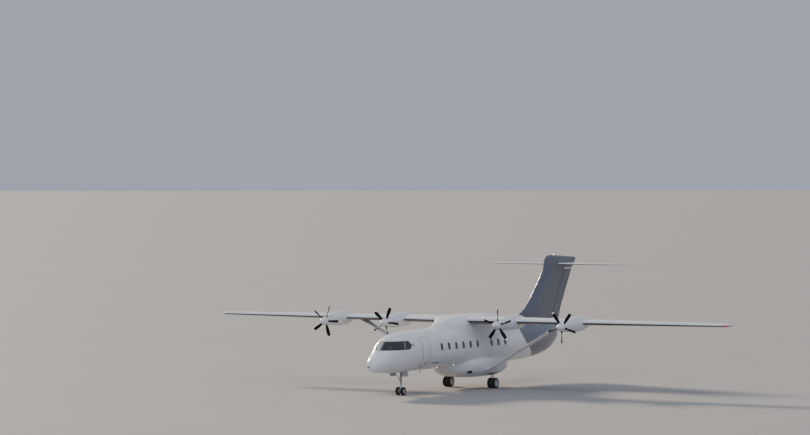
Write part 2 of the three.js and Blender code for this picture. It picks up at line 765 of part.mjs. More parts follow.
function rudder() {
  const ring = (z) => {
    const hinge = rudderHinge(z);
    const nose = finHingeRadius(z);
    const end = finAt(z).back;
    const middle = (hinge + end) / 2;
    const round = [90, 120, 150, 180, 210, 240, 270].map((angle) => {
      const turn = THREE.MathUtils.degToRad(angle);
      return [hinge + nose * Math.cos(turn), nose * Math.sin(turn)];
    });
    const outline = [
      [end, 5], [middle, finHalf(z, middle)], ...round, [middle, -finHalf(z, middle)], [end, -5],
    ];
    return outline.map(([station, x]) => [x, atStation(station), z]);
  };
  const heights = [RUDDER_FOOT.z, FIN[4][0], RUDDER_HEAD.z];
  const bores = rudderPins(boreRadius(HINGE_PIN.radius, SIDES.pin), HINGE_PIN.reach);
  return cut(loft(heights.map(ring)), ...bores);
}

// Pins on the rudder's swept hinge line, at its foot and head.
function rudderPins(radius, reach) {
  const point = (z) => [0, atStation(rudderHinge(z)), z];
  const out = RUDDER_GAP + HINGE_PIN.root;
  return [
    cylinder(radius, point(RUDDER_FOOT.z - out), point(RUDDER_FOOT.z + reach), SIDES.pin),
    cylinder(radius, point(RUDDER_HEAD.z - reach), point(RUDDER_HEAD.z + out), SIDES.pin),
  ];
}

function tailplaneBody(grow = 0) {
  const side = (sign) =>
    TAILPLANE_TIP.map(([x, scale]) => aerofoil(tailplaneAt, sign * x, TAILPLANE_Z, grow, scale));
  return loft([...side(-1).toReversed().slice(0, -1), ...side(1)]);
}

function tailplane() {
  const { inner, outer } = ELEVATOR_SPAN;
  const outline = surfaceSpace(tailplaneAt, TAILPLANE_HINGE, inner, outer);
  const across = (sign) =>
    planPrism(
      outline.map(([x, s]) => [sign * x, s]), TAILPLANE_Z - BEYOND / 2, TAILPLANE_Z + BEYOND / 2,
    );
  const pins = hingePins(TAILPLANE_HINGE, TAILPLANE_Z, inner, outer);
  return joined(cut(tailplaneBody(), across(1), across(-1)), ...pins, ...pins.map(mirrored));
}

// Landing gear

// A tyre about x, centred on x = 0.
function tyre({ tyre: radius, width, rim }) {
  const half = width / 2;
  const bead = half * 0.8;
  const wall = radius - rim;
  const profile = [
    [rim + GAP, -bead],
    [rim + wall * 0.3, -half * 0.96],
    [rim + wall * 0.62, -half],
    [rim + wall * 0.87, -half * 0.86],
    [radius, -half * 0.5],
    [radius, half * 0.5],
    [rim + wall * 0.87, half * 0.86],
    [rim + wall * 0.62, half],
    [rim + wall * 0.3, half * 0.96],
    [rim + GAP, bead],
    [rim + GAP, -bead],
  ];
  return turnedAboutX(profile, SIDES.wheel);
}

// Two rims on one axle about x.
function wheelPair({ width, offset, rim, axle }) {
  const half = width / 2;
  const inner = offset - half * 0.94;
  const outer = offset + half * 0.94;
  const side = [
    [axle, inner],
    [rim, inner],
    [rim, outer],
    [rim * 0.9, outer],
    [rim * 0.82, outer - half * 0.42],
    [rim * 0.4, outer - half * 0.46],
    [rim * 0.3, outer],
    [0, outer],
  ];
  const other = side.map(([r, x]) => [r, -x]).toReversed();
  return turnedAboutX([...other, ...side], SIDES.wheel);
}

function axleEye({ eye, eyeHalf }, x, y, z) {
  return cylinder(eye, [x - eyeHalf, y, z], [x + eyeHalf, y, z], SIDES.wheel);
}

function axleBore({ axle, eyeHalf }, x, y, z) {
  const radius = boreRadius(axle, SIDES.wheel);
  return cylinder(radius, [x - eyeHalf - 5, y, z], [x + eyeHalf + 5, y, z], SIDES.wheel);
}

function mainLegShape(grow) {
  const { x, station, tyre: axleZ } = MAIN_GEAR;
  const y = atStation(station);
  return joined(
    cylinder(MAIN_LEG.upper + grow, [x, y, MAIN_LEG.collar], [x, y, MAIN_LEG.top + grow], SIDES.shaft),
    cylinder(MAIN_LEG.lower, [x, y, axleZ], [x, y, MAIN_LEG.collar + 20], SIDES.tube),
    cylinder(
      MAIN_LEG.brace + grow, [x, y - 40, MAIN_LEG.braceFoot], [x, y - 330, MAIN_LEG.braceTop], SIDES.tube,
    ),
    axleEye(MAIN_GEAR, x, y, axleZ),
  );
}

function mainLeg() {
  const { x, station, tyre: axleZ } = MAIN_GEAR;
  return cut(mainLegShape(0), axleBore(MAIN_GEAR, x, atStation(station), axleZ));
}

function noseLeg() {
  const y = atStation(NOSE_GEAR.station);
  const top = BAY.ceiling - GAP;
  const { radius: thick, footX, footBack, headX, headBack, headZ, tube } = NOSE_BRACE;
  const arm = (side) =>
    cylinder(
      thick, [side * footX, y - footBack, NOSE_LEG.collar], [side * headX, y - headBack, headZ], SIDES.tube,
    );
  const half = BAY.halfWidth - GAP;
  const crossTube = cylinder(tube, [-half, y - headBack, headZ], [half, y - headBack, headZ], SIDES.tube);
  const { collar } = NOSE_LEG;
  const body = joined(
    cylinder(NOSE_LEG.radius, [0, y, NOSE_LEG.foot], [0, y, top], SIDES.shaft),
    cylinder(NOSE_LEG.radius + 14, [0, y, collar - 40], [0, y, collar + 40], SIDES.shaft),
    arm(1),
    arm(-1),
    crossTube,
  );
  const radius = boreRadius(NOSE_LEG.piston, SIDES.shaft);
  const bore = cylinder(radius, [0, y, NOSE_LEG.foot - 10], [0, y, NOSE_LEG.boreTop], SIDES.shaft);
  return cut(body, bore);
}

function noseFork() {
  const y = atStation(NOSE_GEAR.station);
  const axleZ = NOSE_GEAR.tyre;
  const link = block([-18, 18], [y + 30, y + 88], [300, 520]);
  const foot = block([-18, 18], [y + 20, y + 70], [270, 330]);
  const body = joined(
    cylinder(NOSE_LEG.piston, [0, y, axleZ], [0, y, NOSE_LEG.boreTop - GAP], SIDES.shaft),
    axleEye(NOSE_GEAR, 0, y, axleZ),
    link,
    foot,
  );
  return cut(body, axleBore(NOSE_GEAR, 0, y, axleZ));
}

// A door that hangs from the side of the nose wheel bay.
function noseBayDoor() {
  const inside = BAY.halfWidth - GAP;
  const shape = new THREE.Shape(BAY_DOOR.map(([x, z]) => new THREE.Vector2(inside + x, z)));
  const length = BAY.back - BAY.front - 2 * BAY_DOOR_END;
  const geometry = new THREE.ExtrudeGeometry(shape, { depth: length, bevelEnabled: false });
  geometry.rotateX(Math.PI / 2);
  geometry.translate(0, atStation(BAY.back - BAY_DOOR_END), 0);
  return facingOut(geometry);
}

// The scene graph

const airliner = new THREE.Group();
const port = new THREE.Group();
const starboard = new THREE.Group();
starboard.scale.x = -1;
airliner.add(port, starboard);

function piece(parent, name, body, look, position = [0, 0, 0]) {
  const mesh = new THREE.Mesh(geometryOf(body), material(look));
  mesh.name = name;
  mesh.position.set(...position);
  parent.add(mesh);
}

const sides = [["port", port], ["starboard", starboard]];
const bothSides = (name, body, look, position) =>
  sides.forEach(([side, group]) => piece(group, `${name}_${side}`, body, look, position));

const { nose, glazing } = noseWithGlazing();
const { cabin, passengerDoor, serviceDoor } = cabinWithDoors();
piece(airliner, "fuselage_nose", nose, WHITE);
piece(airliner, "cockpit_glazing", glazing, GLASS);
piece(airliner, "fuselage_cabin", cabin, WHITE);
piece(airliner, "passenger_door", passengerDoor, WHITE);
piece(airliner, "service_door", serviceDoor, WHITE);
piece(airliner, "fuselage_tail", fuselageBetween(TAIL_JOINT, TAIL_END), SLATE);
piece(airliner, "wing_fairing", wingFairing(), WHITE);
const bellySpace = [fuselageCutter, mirrored(fuselageCutter), mainLegShape(GAP)];
bothSides("belly_fairing", cut(bellyHalf(), ...bellySpace), WHITE);

bothSides("wing", portWing(), WHITE);
bothSides("strut", portStrut(), WHITE);
for (const [name, inner, outer] of WING_SURFACES) {
  bothSides(name, trailingSurface(wingAt, WING_HINGE, WING_Z, inner, outer), WHITE);
}

for (const [place, x] of Object.entries(ENGINE_X)) {
  const cowl = nacelle(x);
  for (const [side, group] of sides) {
    const name = `${place}_${side}`;
    const angles = bladeAngles(FIRST_BLADE[side][place]);
    const hub = [x, atStation(PROPELLER_STATION), ENGINE_Z];
    piece(group, `nacelle_${name}`, cowl, WHITE, [x, 0, 0]);
    piece(group, `motor_${name}`, motor(), METAL, [x, 0, 0]);
    piece(group, `spinner_${name}`, spinner(angles), WHITE, hub);
    piece(group, `blades_${name}`, bladesAndHub(angles, HAND[place]), BLACK, hub);
  }
}

const finPins = rudderPins(HINGE_PIN.radius, HINGE_PIN.reach - GAP);
piece(airliner, "fin", joined(fin(), ...finPins), SLATE);
piece(airliner, "rudder", rudder(), SLATE);
piece(airliner, "tailplane", tailplane(), WHITE);
const { inner: elevatorRoot, outer: elevatorTip } = ELEVATOR_SPAN;
const elevator = trailingSurface(tailplaneAt, TAILPLANE_HINGE, TAILPLANE_Z, elevatorRoot, elevatorTip);
bothSides("elevator", elevator, WHITE);

piece(airliner, "nose_leg", noseLeg(), METAL);
piece(airliner, "nose_fork", noseFork(), METAL);
bothSides("nose_bay_door", noseBayDoor(), WHITE);
const noseAxle = [0, atStation(NOSE_GEAR.station), NOSE_GEAR.tyre];
piece(airliner, "nose_wheels", wheelPair(NOSE_GEAR), METAL, noseAxle);
bothSides("nose_tyre", tyre(NOSE_GEAR), RUBBER, [NOSE_GEAR.offset, noseAxle[1], noseAxle[2]]);

const mainAxle = [MAIN_GEAR.x, atStation(MAIN_GEAR.station), MAIN_GEAR.tyre];
bothSides("main_leg", mainLeg(), METAL);
bothSides("main_wheels", wheelPair(MAIN_GEAR), METAL, mainAxle);
for (const [place, shift] of [["inner", -MAIN_GEAR.offset], ["outer", MAIN_GEAR.offset]]) {
  const centre = [mainAxle[0] + shift, mainAxle[1], mainAxle[2]];
  bothSides(`main_tyre_${place}`, tyre(MAIN_GEAR), RUBBER, centre);
}

export default airliner;
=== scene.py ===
"""The looks of a parked four-propeller airliner with a braced wing, built around its CAD frame.

Metres. +Z is up, the nose points to -Y and the port wing to +X. A station is a distance behind a datum that
lies 0.44 ahead of the nose tip.
"""

import math
from bisect import bisect_right
from functools import lru_cache

import bmesh
import bpy
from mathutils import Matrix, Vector


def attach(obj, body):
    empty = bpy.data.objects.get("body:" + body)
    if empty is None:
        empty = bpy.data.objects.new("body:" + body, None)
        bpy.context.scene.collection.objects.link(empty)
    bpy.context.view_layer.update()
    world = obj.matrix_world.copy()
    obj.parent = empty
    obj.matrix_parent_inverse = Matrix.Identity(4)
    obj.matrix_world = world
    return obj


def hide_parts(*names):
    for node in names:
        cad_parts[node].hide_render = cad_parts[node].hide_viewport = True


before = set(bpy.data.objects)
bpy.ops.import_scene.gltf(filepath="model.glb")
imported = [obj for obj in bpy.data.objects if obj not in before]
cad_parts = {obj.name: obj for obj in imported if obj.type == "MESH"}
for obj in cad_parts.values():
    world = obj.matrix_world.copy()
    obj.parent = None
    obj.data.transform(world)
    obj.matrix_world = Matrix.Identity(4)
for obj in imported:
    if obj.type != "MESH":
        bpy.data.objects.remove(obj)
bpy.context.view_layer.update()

bl_info = {
    "name": "Braced-wing airliner",
    "version": (1, 0, 0),
    "blender": (4, 5, 0),
    "location": "3D View > Sidebar > Airliner",
    "description": "Builds the skins, glazing, propellers, gear and finishes of a four-propeller airliner",
    "category": "Add Mesh",
}

NOSE_TIP = 0.44
TAIL_TIP = 22.92
SIDES = (("port", 1), ("starboard", -1))
NOSE_JOINT = 3.62
TAIL_JOINT = 14.9
ROUNDNESS = 2.3

# Fuselage sections. Columns: station, bottom, widest height, top, half width.
FUSELAGE = (
    (NOSE_TIP, 1.53, 1.65, 1.77, 0.06),
    (0.48, 1.455, 1.67, 1.89, 0.2),
    (0.56, 1.405, 1.695, 1.985, 0.31),
    (0.7, 1.36, 1.725, 2.085, 0.425),
    (0.9, 1.325, 1.775, 2.2, 0.535),
    (1.1, 1.3, 1.83, 2.315, 0.6),
    (1.32, 1.28, 1.895, 2.455, 0.655),
    (1.55, 1.262, 1.965, 2.675, 0.712),
    (1.81, 1.245, 2.04, 2.925, 0.775),
    (2.05, 1.23, 2.095, 3.08, 0.84),
    (2.4, 1.215, 2.155, 3.215, 0.925),
    (2.9, 1.212, 2.21, 3.31, 1.035),
    (NOSE_JOINT, 1.238, 2.24, 3.368, 1.145),
    (4.6, 1.26, 2.25, 3.39, 1.205),
    (5.4, 1.26, 2.25, 3.43, 1.215),
    (12.6, 1.26, 2.25, 3.43, 1.215),
    (14, 1.262, 2.27, 3.43, 1.205),
    (TAIL_JOINT, 1.28, 2.29, 3.43, 1.185),
    (16, 1.325, 2.335, 3.43, 1.125),
    (17.13, 1.4, 2.39, 3.422, 1.01),
    (18, 1.5, 2.45, 3.404, 0.88),
    (18.71, 1.625, 2.51, 3.375, 0.745),
    (19.4, 1.83, 2.59, 3.325, 0.57),
    (19.9, 2.06, 2.665, 3.27, 0.42),
    (20.3, 2.33, 2.75, 3.2, 0.27),
    (20.58, 2.62, 2.84, 3.08, 0.11),
)
TAIL_END = 20.58
# The rounded end of the tail. Columns: scale, distance back.
TAIL_CAP = ((0.93, 0.018), (0.75, 0.035), (0.45, 0.046), (0.15, 0.05))

# The fairing over the cabin that carries the wing. Columns: station, top, half width, roundness.
WING_FAIRING = (
    (6.1, 3.1, 0.1, 2.5),
    (6.35, 3.36, 0.2, 2.6),
    (6.65, 3.47, 0.33, 2.7),
    (7, 3.59, 0.46, 2.8),
    (7.4, 3.72, 0.6, 3),
    (7.85, 3.85, 0.76, 3.3),
    (8.25, 3.96, 0.92, 4),
    (8.65, 4.045, 1.06, 5),
    (9.2, 4.06, 1.105, 5),
    (11.8, 4.055, 1.11, 5),
    (12.8, 3.99, 1.09, 5),
    (13.8, 3.86, 1.02, 5),
    (14.8, 3.69, 0.88, 5),
    (15.6, 3.54, 0.68, 5),
    (16.2, 3.4, 0.44, 5),
    (16.5, 3.1, 0.24, 5),
)
FAIRING_WIDEST = 2.82

# The belly fairing that holds the main gear. Columns as for the fuselage.
BELLY_FAIRING = (
    (7.5, 1.27, 1.38, 1.46, 0.24),
    (7.75, 1.06, 1.31, 1.49, 0.48),
    (8, 0.895, 1.31, 1.57, 0.73),
    (8.3, 0.785, 1.33, 1.64, 0.94),
    (8.7, 0.705, 1.36, 1.71, 1.2),
    (9.2, 0.645, 1.39, 1.77, 1.47),
    (9.7, 0.615, 1.41, 1.81, 1.69),
    (10.2, 0.6, 1.43, 1.845, 1.82),
    (10.7, 0.597, 1.44, 1.855, 1.86),
    (11.2, 0.605, 1.44, 1.85, 1.84),
    (11.7, 0.63, 1.435, 1.82, 1.75),
    (12.2, 0.685, 1.42, 1.77, 1.56),
    (12.7, 0.8, 1.41, 1.69, 1.27),
    (13.1, 0.97, 1.41, 1.6, 0.96),
    (13.4, 1.18, 1.43, 1.52, 0.64),
    (13.55, 1.28, 1.43, 1.5, 0.42),
)
BELLY_ROUNDNESS = 2.6

# Nacelle sections. Columns as for the fuselage.
NACELLE_FRONT = 7.7
NACELLE_LENGTH = 2.74
NACELLE = (
    (7.7, 3.392, 3.62, 3.848, 0.228),
    (7.88, 3.358, 3.63, 3.92, 0.282),
    (8.15, 3.332, 3.65, 3.995, 0.33),
    (8.5, 3.318, 3.675, 4.06, 0.366),
    (8.95, 3.315, 3.7, 4.118, 0.385),
    (9.45, 3.33, 3.72, 4.14, 0.382),
    (9.85, 3.38, 3.74, 4.112, 0.345),
    (10.2, 3.462, 3.76, 4.042, 0.275),
    (10.44, 3.56, 3.78, 3.968, 0.185),
)
NACELLE_ROUNDNESS = 2.1
# Points in a quarter of a section.
NACELLE_STEPS = 18
BELLY_STEPS = 26
# The rounded back end. Columns: scale, distance back.
NACELLE_CAP = ((0.8, 0.05), (0.45, 0.085), (0.12, 0.098))
# Stations of the cowling's seams, and the height and ends of its split line.
COWLING_SEAMS = (7.98, 8.72)
SPLIT_Z = 3.64
SPLIT_ENDS = (7.78, 9.3)
COWLING_SEAM_WIDTH = 0.008
# The cowling's rolled lip, from the inside round to the outside. Columns: distance back, radius.
COWLING_LIP = ((0.10, 0.186), (0.012, 0.188), (0.002, 0.194), (0.0, 0.204), (0.004, 0.215), (0.014, 0.2255))
ENGINE_X = {"inner": 3.55, "outer": 7.46}
ENGINE_Z = 3.62
PROPELLER_STATION = 7.59

# Spinner profile. Columns: radius, y from the blades' plane.
SPINNER = ((0, -0.44), (0.07, -0.412), (0.15, -0.305), (0.213, -0.14), (0.238, 0), (0.24, 0.088))
SPINNER_LENGTH = 0.44
# How far the outer skin reaches behind the tip, and the back edge behind it. Columns: distance, radius.
SPINNER_SKIN = 0.528
SPINNER_BACK = [(0.530, 0.236), (0.530, 0.1), (0.52, 0.09), (0.52, 0.0)]
# Blade sections. Columns: radius, chord, thickness, pitch in degrees.
BLADE = (
    (0.18, 0.092, 0.092, 0),
    (0.252, 0.092, 0.092, 0),
    (0.35, 0.158, 0.042, 55),
    (0.56, 0.196, 0.028, 46),
    (0.74, 0.182, 0.02, 38),
    (0.9, 0.132, 0.012, 31),
    (0.95, 0.064, 0.007, 29),
)
# The radius of a blade's end, and the radius where its rounding starts.
BLADE_REACH = 0.95
BLADE_ROUND = 0.93
BLADES = 5
# The cuff at a blade's root. Columns: distance outwards, radius.
CUFF = ((0, 0.062), (0.04, 0.06), (0.053, 0.055), (0.057, 0.048))
# Angle of each propeller's first blade, seen from in front, from the wing's outer end towards up.
FIRST_BLADE = {
    ("inner", "port"): 18,
    ("outer", "port"): 54,
    ("inner", "starboard"): 40,
    ("outer", "starboard"): 37,
}
# The outer propellers turn against the inner ones, so their blades lean the other way.
HAND = {"inner": 1, "outer": -1}

# Flying surfaces, at the middle and at the tip. Columns: leading station, trailing station, thickness share.
WING_PLAN = ((8.65, 11.24, 0.172), (9.84, 10.99, 0.165))
TAILPLANE_PLAN = ((20.54, 21.9, 0.1), (20.86, 21.62, 0.1))
FOIL_STEPS = 26
TIP_STEPS = 8
# How much of its chord a tip keeps at its very end.
TIP_SCALE = 0.56
WING_Z = 3.8
WING_ROOT_X = 0.85
WING_TIP_START = 15.72
WING_TIP_X = 16
WING_HINGE = 10.6
MOVE_GAP = 0.01
WING_SURFACES = (("flap_inner", 1.4, 5.31), ("flap_outer", 5.39, 10.21), ("aileron", 10.29, 15.56))
TIP_LAMP_X = 15.86
# Lenses of a tip lamp, by their distance along x from its middle.
TIP_LENSES = (-0.09, 0.0, 0.09)
# Static wicks: where they stand, by x or height, and how far each reaches ahead of and behind the edge.
AILERON_WICKS = (12.6, 13.45, 14.3, 15.15)
ELEVATOR_WICKS = (2.6, 3.3, 4.0)
RUDDER_WICKS = (3.9, 4.6, 5.3, 6.0)
WICK = {"ahead": 0.03, "behind": 0.12, "radius": 0.004}
SMALL_WICK = {"ahead": 0.02, "behind": 0.1, "radius": 0.0035}
# The jack pad under each wing: x and station.
JACK_PAD = (5.0, 9.9)
TAILPLANE_Z = 6.59
TAILPLANE_HINGE = 21.37
TAILPLANE_TIP_START = 4.38
TAILPLANE_TIP_X = 4.53
ELEVATOR = (0.2, 4.33)

# Fin sections by height. Columns: height, leading station, trailing station.
FIN = (
    (3.0, 15.05, 20.56),
    (3.43, 15.3, 20.81),
    (3.72, 15.95, 20.93),
    (4.09, 16.74, 21.09),
    (4.62, 17.44, 21.402),
    (5.16, 18, 21.72),
    (5.76, 18.58, 22.088),
    (6.15, 18.92, 22.328),
    (6.5, 19.11, 22.543),
    (6.88, 19.2, 22.791),
    (7.06, 19.45, TAIL_TIP),
    (7.14, 19.9, 22.86),
)
# The rounding of the fin's top. Columns: height, share of the thickness.
FIN_TOP = [(7.085, 0.95), (7.105, 0.85), (7.122, 0.7), (7.134, 0.48), (7.14, 0.2)]
FIN_STEPS = 30
FIN_THICKNESS = 0.09
FIN_CHORD = 4.4
# The rudder's hinge. Columns: station, height.
RUDDER_FOOT = (19.88, 3.5)
RUDDER_HEAD = (21.52, 6.3)
RUDDER_GAP = 0.045

# The wing's brace. Columns: x, z, middle station, chord, thickness.
STRUT = (
    (1.4, 0.96, 10.1, 0.9, 0.15),
    (1.7, 1.11, 10.08, 0.82, 0.14),
    (2, 1.27, 10.06, 0.72, 0.13),
    (2.6, 1.59, 10.01, 0.64, 0.118),
    (5.75, 3.367, 9.8, 0.56, 0.11),
    (6.05, 3.525, 9.77, 0.68, 0.12),
    (6.42, 3.72, 9.74, 0.82, 0.14),
)

BAY = {"front": 2.96, "back": 3.6, "half": 0.35, "ceiling": 1.468}
NOSE_GEAR = {"station": 3.436, "tyre": 0.22, "width": 0.126, "offset": 0.16, "rim": 0.118, "axle": 0.022}
MAIN_GEAR = {"station": 10.8, "tyre": 0.29, "width": 0.19, "offset": 0.135, "rim": 0.19, "axle": 0.028}
MAIN_X = 1.42
# A tyre's wall. Columns: share of its height, share of the half width.
TYRE_WALL = ((0.0, 0.8), (0.3, 0.96), (0.62, 1.0))
# A rim's width and the depth of its face, as shares of the tyre's width.
RIM_SHARE = 0.94
FACE_DEPTH = 0.46
# A rim's dished face and hub cap. The dish counts depth in half widths. Columns: depth, share of radius.
RIM_DISH = ((0.3, 0.83), (0.4, 0.78), (FACE_DEPTH, 0.6), (FACE_DEPTH, 0.42), (0.4, 0.38))
RIM_CAP = ((0.012, 0.33), (0.004, 0.3), (0.002, 0.2), (0, 0.12))
RIM_HOLES = 9
# The raised lip of a rim's hole. Columns: distance out, share of the hole's radius.
HOLE_LIP = ((0.0, 0.7), (0.0065, 0.8), (0.0075, 1), (0.0085, 1.12), (0.006, 1.25))
# Outer cylinders of the legs. Columns: distance up, radius.
MAIN_SLEEVE = (
    (0, 0.046), (0.004, 0.058), (0.05, 0.058), (0.056, 0.05), (0.3, 0.05), (0.306, 0.056), (0.385, 0.056),
)
NOSE_SLEEVE = (
    (0, 0.05), (0.006, 0.058), (0.04, 0.058), (0.046, 0.052), (0.19, 0.052), (0.195, 0.068), (0.2, 0.07),
    (0.262, 0.07), (0.268, 0.066), (0.272, 0.052), (0.905, 0.054),
)

# Cockpit glazing of one side. The pane's columns: turn about an upright axis in degrees, height.
GLAZING_AXIS = 2.6
SIDE_PANE = ((1.0, 2.466), (99.2, 2.492), (109.5, 2.67), (106, 2.92), (1.7, 2.912))
METRES_A_DEGREE = 0.0175
SCREEN_TURN = 38
POST_HEIGHTS = (2.475, 2.915)
# A pale strip of frame metal between two side panes, a painted reflection, from its foot to its head.
PAINTED_REFLECTION_STRIP = ((80, 2.53), (84, 2.865))
PANE_STEP = 0.04
# Wiper arm and blade. Columns: path as turns and heights, distance off the glass, radius.
WIPER = (
    (((7, 2.44), (14, 2.56), (24, 2.68)), 0.02, 0.006),
    (((17, 2.53), (24, 2.68), (33, 2.84)), 0.014, 0.008),
)

# Doors. Columns: node, side, front, back, bottom, top.
DOORS = (
    ("passenger_door", 1, 3.86, 4.5, 1.48, 3.08),
    ("service_door", -1, 3.86, 4.44, 1.62, 3.0),
)
DOOR_CORNER = 0.12
# A door's grip and its recess. Columns: distance behind the door's middle, height.
GRIP_RECESS = ((-0.03, 1.68), (0.025, 1.6), (0.085, 1.66), (0.03, 1.79))
GRIP = ((0.045, 1.655), (0.008, 1.73))
FIRST_WINDOW = 5.7
WINDOW_Z = 2.5
WINDOW_SQUARENESS = 0.75
# The other windows, in pitches behind the first one. The seventh is missing.
WINDOW_PLACES = (1, 2, 3, 4, 5, 7, 8, 9)

# Openings of the belly fairing. Columns: station, then height for the slot and x for the gear's opening.
BELLY_SLOT = ((8.62, 1.04), (8.86, 1.06), (8.95, 0.91), (8.7, 0.9))
GEAR_OPENING = ((10.3, 1.3), (11.25, 1.3), (11.25, 1.54), (10.3, 1.54))
BELLY_SEAMS = (9.25, 11.6)
BELLY_LINE_Z = 0.93
SEAM_WIDTH = 0.01
SEAM_RISE = 0.0012

# The part of the nose that the bay's cut may reach: below a height, and from a distance ahead of the bay.
BAY_CUT_TOP = 1.6
BAY_CUT_MARGIN = 0.4
# Stations of the stiffeners on the bay's walls and roof.
WALL_RIBS = (3.11, 3.26, 3.41)
ROOF_RIBS = (3.06, 3.21, 3.36)
RIB_WIDTH = 0.012
RIB_FOOT = 1.26

# Marks on the fuselage's sides. Columns: station, height.
NOSE_DASH = ((4.93, 1.63), (5.65, 1.63), (5.65, 1.676), (4.93, 1.676))
ICE_DETECTOR = ((3.0, 2.8), (3.035, 2.8), (3.13, 2.625), (3.095, 2.625))
SIDE_LAMPS = ((6.05, 1.37), (7.71, 1.41))
# The slot low on the nose. Columns: turn in degrees, height.
NOSE_SLOT = ((-9, 1.6), (-1, 1.6), (-1, 1.65), (-9, 1.65))
# The roof aerial's mast. Columns: height, front, back, half thickness.
ROOF_MAST = (
    (3.42, 5.03, 5.19, 0.014),
    (3.47, 5.05, 5.19, 0.012),
    (3.53, 5.08, 5.19, 0.009),
    (3.565, 5.11, 5.19, 0.006),
)
# Blade aerials. Columns: station, height of the skin, how far the blade stands off upwards.
BLADE_MASTS = ((12.95, 3.965, 0.13), (5.3, 1.2, -0.14), (14.6, 1.255, -0.12))

# Panel seams. Columns: axis, pitch, width, shift. A pitch of 40 leaves a single seam, at 20 less the shift.
FUSELAGE_SEAMS = (("Y", 1.9, 0.008, 0.61), ("Z", 40.0, 0.007, 18.28))
WING_SEAMS = (("X", 1.3, 0.008, 0.3), ("Y", 40.0, 0.006, 22.1))
FIN_SEAMS = (("Z", 0.92, 0.007, 0.1),)
# Painted shade below the wing and the tailplane: a dark grey mixed in where the skin faces down.
PAINTED_UNDERSIDE_SHADE = (0.035, 0.037, 0.045, 1)
SEAM_GREY = (0.12, 0.12, 0.13, 1)
DUST = (0.25, 0.23, 0.21, 1)
BROWN_DUST = (0.075, 0.068, 0.06, 1)
# Where the slate paint begins: the station of its upper edge, and how the edge sweeps back below a height.
SLATE_EDGE = {"station": 14.56, "height": 2.985, "depth": 1.589, "reach": 2.05, "power": 1.75}

# Suns. Columns: name, the way to it, strength, colour, angle in degrees.
SUNS = (
    ("back light", (-0.93, 0.5, 0.42), 4.8, (1.0, 0.84, 0.64), 8),
    ("front light", (0.3, -0.8, 1.1), 1.0, (0.9, 0.94, 1.0), 50),
)
SURROUND = {"colour": (0.72, 0.79, 0.95, 1), "strength": 0.55}
# The camera: its place, its tilt down and its heading in degrees, its roll in radians, and its lens.
CAMERA = {
    "place": (85.349, -147.178, 11.159),
    "down": 0.607,
    "roll": 0.00075,
    "heading": 31.481,
    "lens": 136.575,
}

# Angles of a fuselage section's points, closer over the top, where the wing fairing joins it.
TOP_STEPS = 110
LOW_STEPS = 50
RING_ANGLES = [math.pi * i / TOP_STEPS for i in range(TOP_STEPS)]
RING_ANGLES += [math.pi + math.pi * i / LOW_STEPS for i in range(LOW_STEPS)]
# The height where the fairing's blend begins, and the rise over which it grows.
BLEND_START = 2.7
BLEND_RISE = 0.25
# Least and most reach of the nose from the glazing's axis and of the fairing from the cabin's middle.
NOSE_REACH = (0.3, 2.4)
NOSE_HALVINGS = 22
FAIRING_REACH = (0, 2.6)
FAIRING_HALVINGS = 18
FINE_STEPS = 800
LEAST_RADIUS = 1e-5
# Points closer than this become one.
SAME_POINT = 2e-5
# How deep the edge of a plate or strip, and the foot of a stud, go into the skin.
SINK = 0.004
FOOT_DEPTH = 0.01
# The distances that give a skin's slope, in metres and in degrees of turn.
SKIN_STEP = 0.004
TURN_STEP = 0.3


def at_station(station):
    """The y of a station."""
    return station - (NOSE_TIP + TAIL_TIP) / 2


def smoothstep(value):
    """A share from 0 to 1 that leaves and arrives gently."""
    part = min(max(value, 0), 1)
    return part * part * (3 - 2 * part)


def between(a, b, part):
    return a + (b - a) * part


def span(start, end, steps):
    """Evenly spaced values from start to end."""
    return [between(start, end, i / steps) for i in range(steps + 1)]


def spans(*marks):
    """Values from mark to mark. Columns of marks: value, steps to the next one."""
    values = []
    for (start, steps), (end, _) in zip(marks, marks[1:]):
        values += span(start, end, steps)[:-1]
    return values + [marks[-1][0]]


def turns(count):
    """Angles of points spaced evenly round a circle."""
    return [2 * math.pi * i / count for i in range(count)]


def edge_of(inside, low, high, halvings):
    """The furthest reach that still lies inside, found by halving."""
    for _ in range(halvings):
        middle = (low + high) / 2
        if inside(middle):
            low = middle
        else:
            high = middle
    return low


# Smooth curves


def monotone(xs, ys):
    """A smooth curve through points, which rises and falls only where they do."""
    steps = [(ys[i + 1] - ys[i]) / (xs[i + 1] - xs[i]) for i in range(len(xs) - 1)]
    slopes = [steps[0]]
    for a, b in zip(steps, steps[1:]):
        slopes.append(0 if a * b <= 0 else 2 * a * b / (a + b))
    slopes.append(steps[-1])

    def value(x):
        i = min(max(bisect_right(xs, x) - 1, 0), len(xs) - 2)
        width = xs[i + 1] - xs[i]
        t = min(max((x - xs[i]) / width, 0), 1)
        start = ys[i] * (1 + 2 * t) * (1 - t) ** 2 + slopes[i] * width * t * (1 - t) ** 2
        end = ys[i + 1] * t * t * (3 - 2 * t) + slopes[i + 1] * width * t * t * (t - 1)
        return start + end

    return value


def smooth_rows(rows, warp=lambda key: key):
    """A function from a table's first column to its other columns."""
    keys = [warp(row[0]) for row in rows]
    columns = [monotone(keys, [row[k] for row in rows]) for k in range(1, len(rows[0]))]
    return lambda key: [column(warp(key)) for column in columns]


fuselage_at = lru_cache(maxsize=20000)(smooth_rows(FUSELAGE, lambda s: math.sqrt(max(s - NOSE_TIP, 0))))
wing_fairing_at = smooth_rows(WING_FAIRING)
belly_at = smooth_rows(BELLY_FAIRING)
nacelle_at = smooth_rows(NACELLE, lambda station: math.sqrt(station - NACELLE_FRONT))
fin_at = smooth_rows(FIN)
strut_at = smooth_rows(STRUT)
blade_at = smooth_rows(BLADE)
spinner_radius = monotone([math.sqrt(y + SPINNER_LENGTH) for _, y in SPINNER], [r for r, _ in SPINNER])


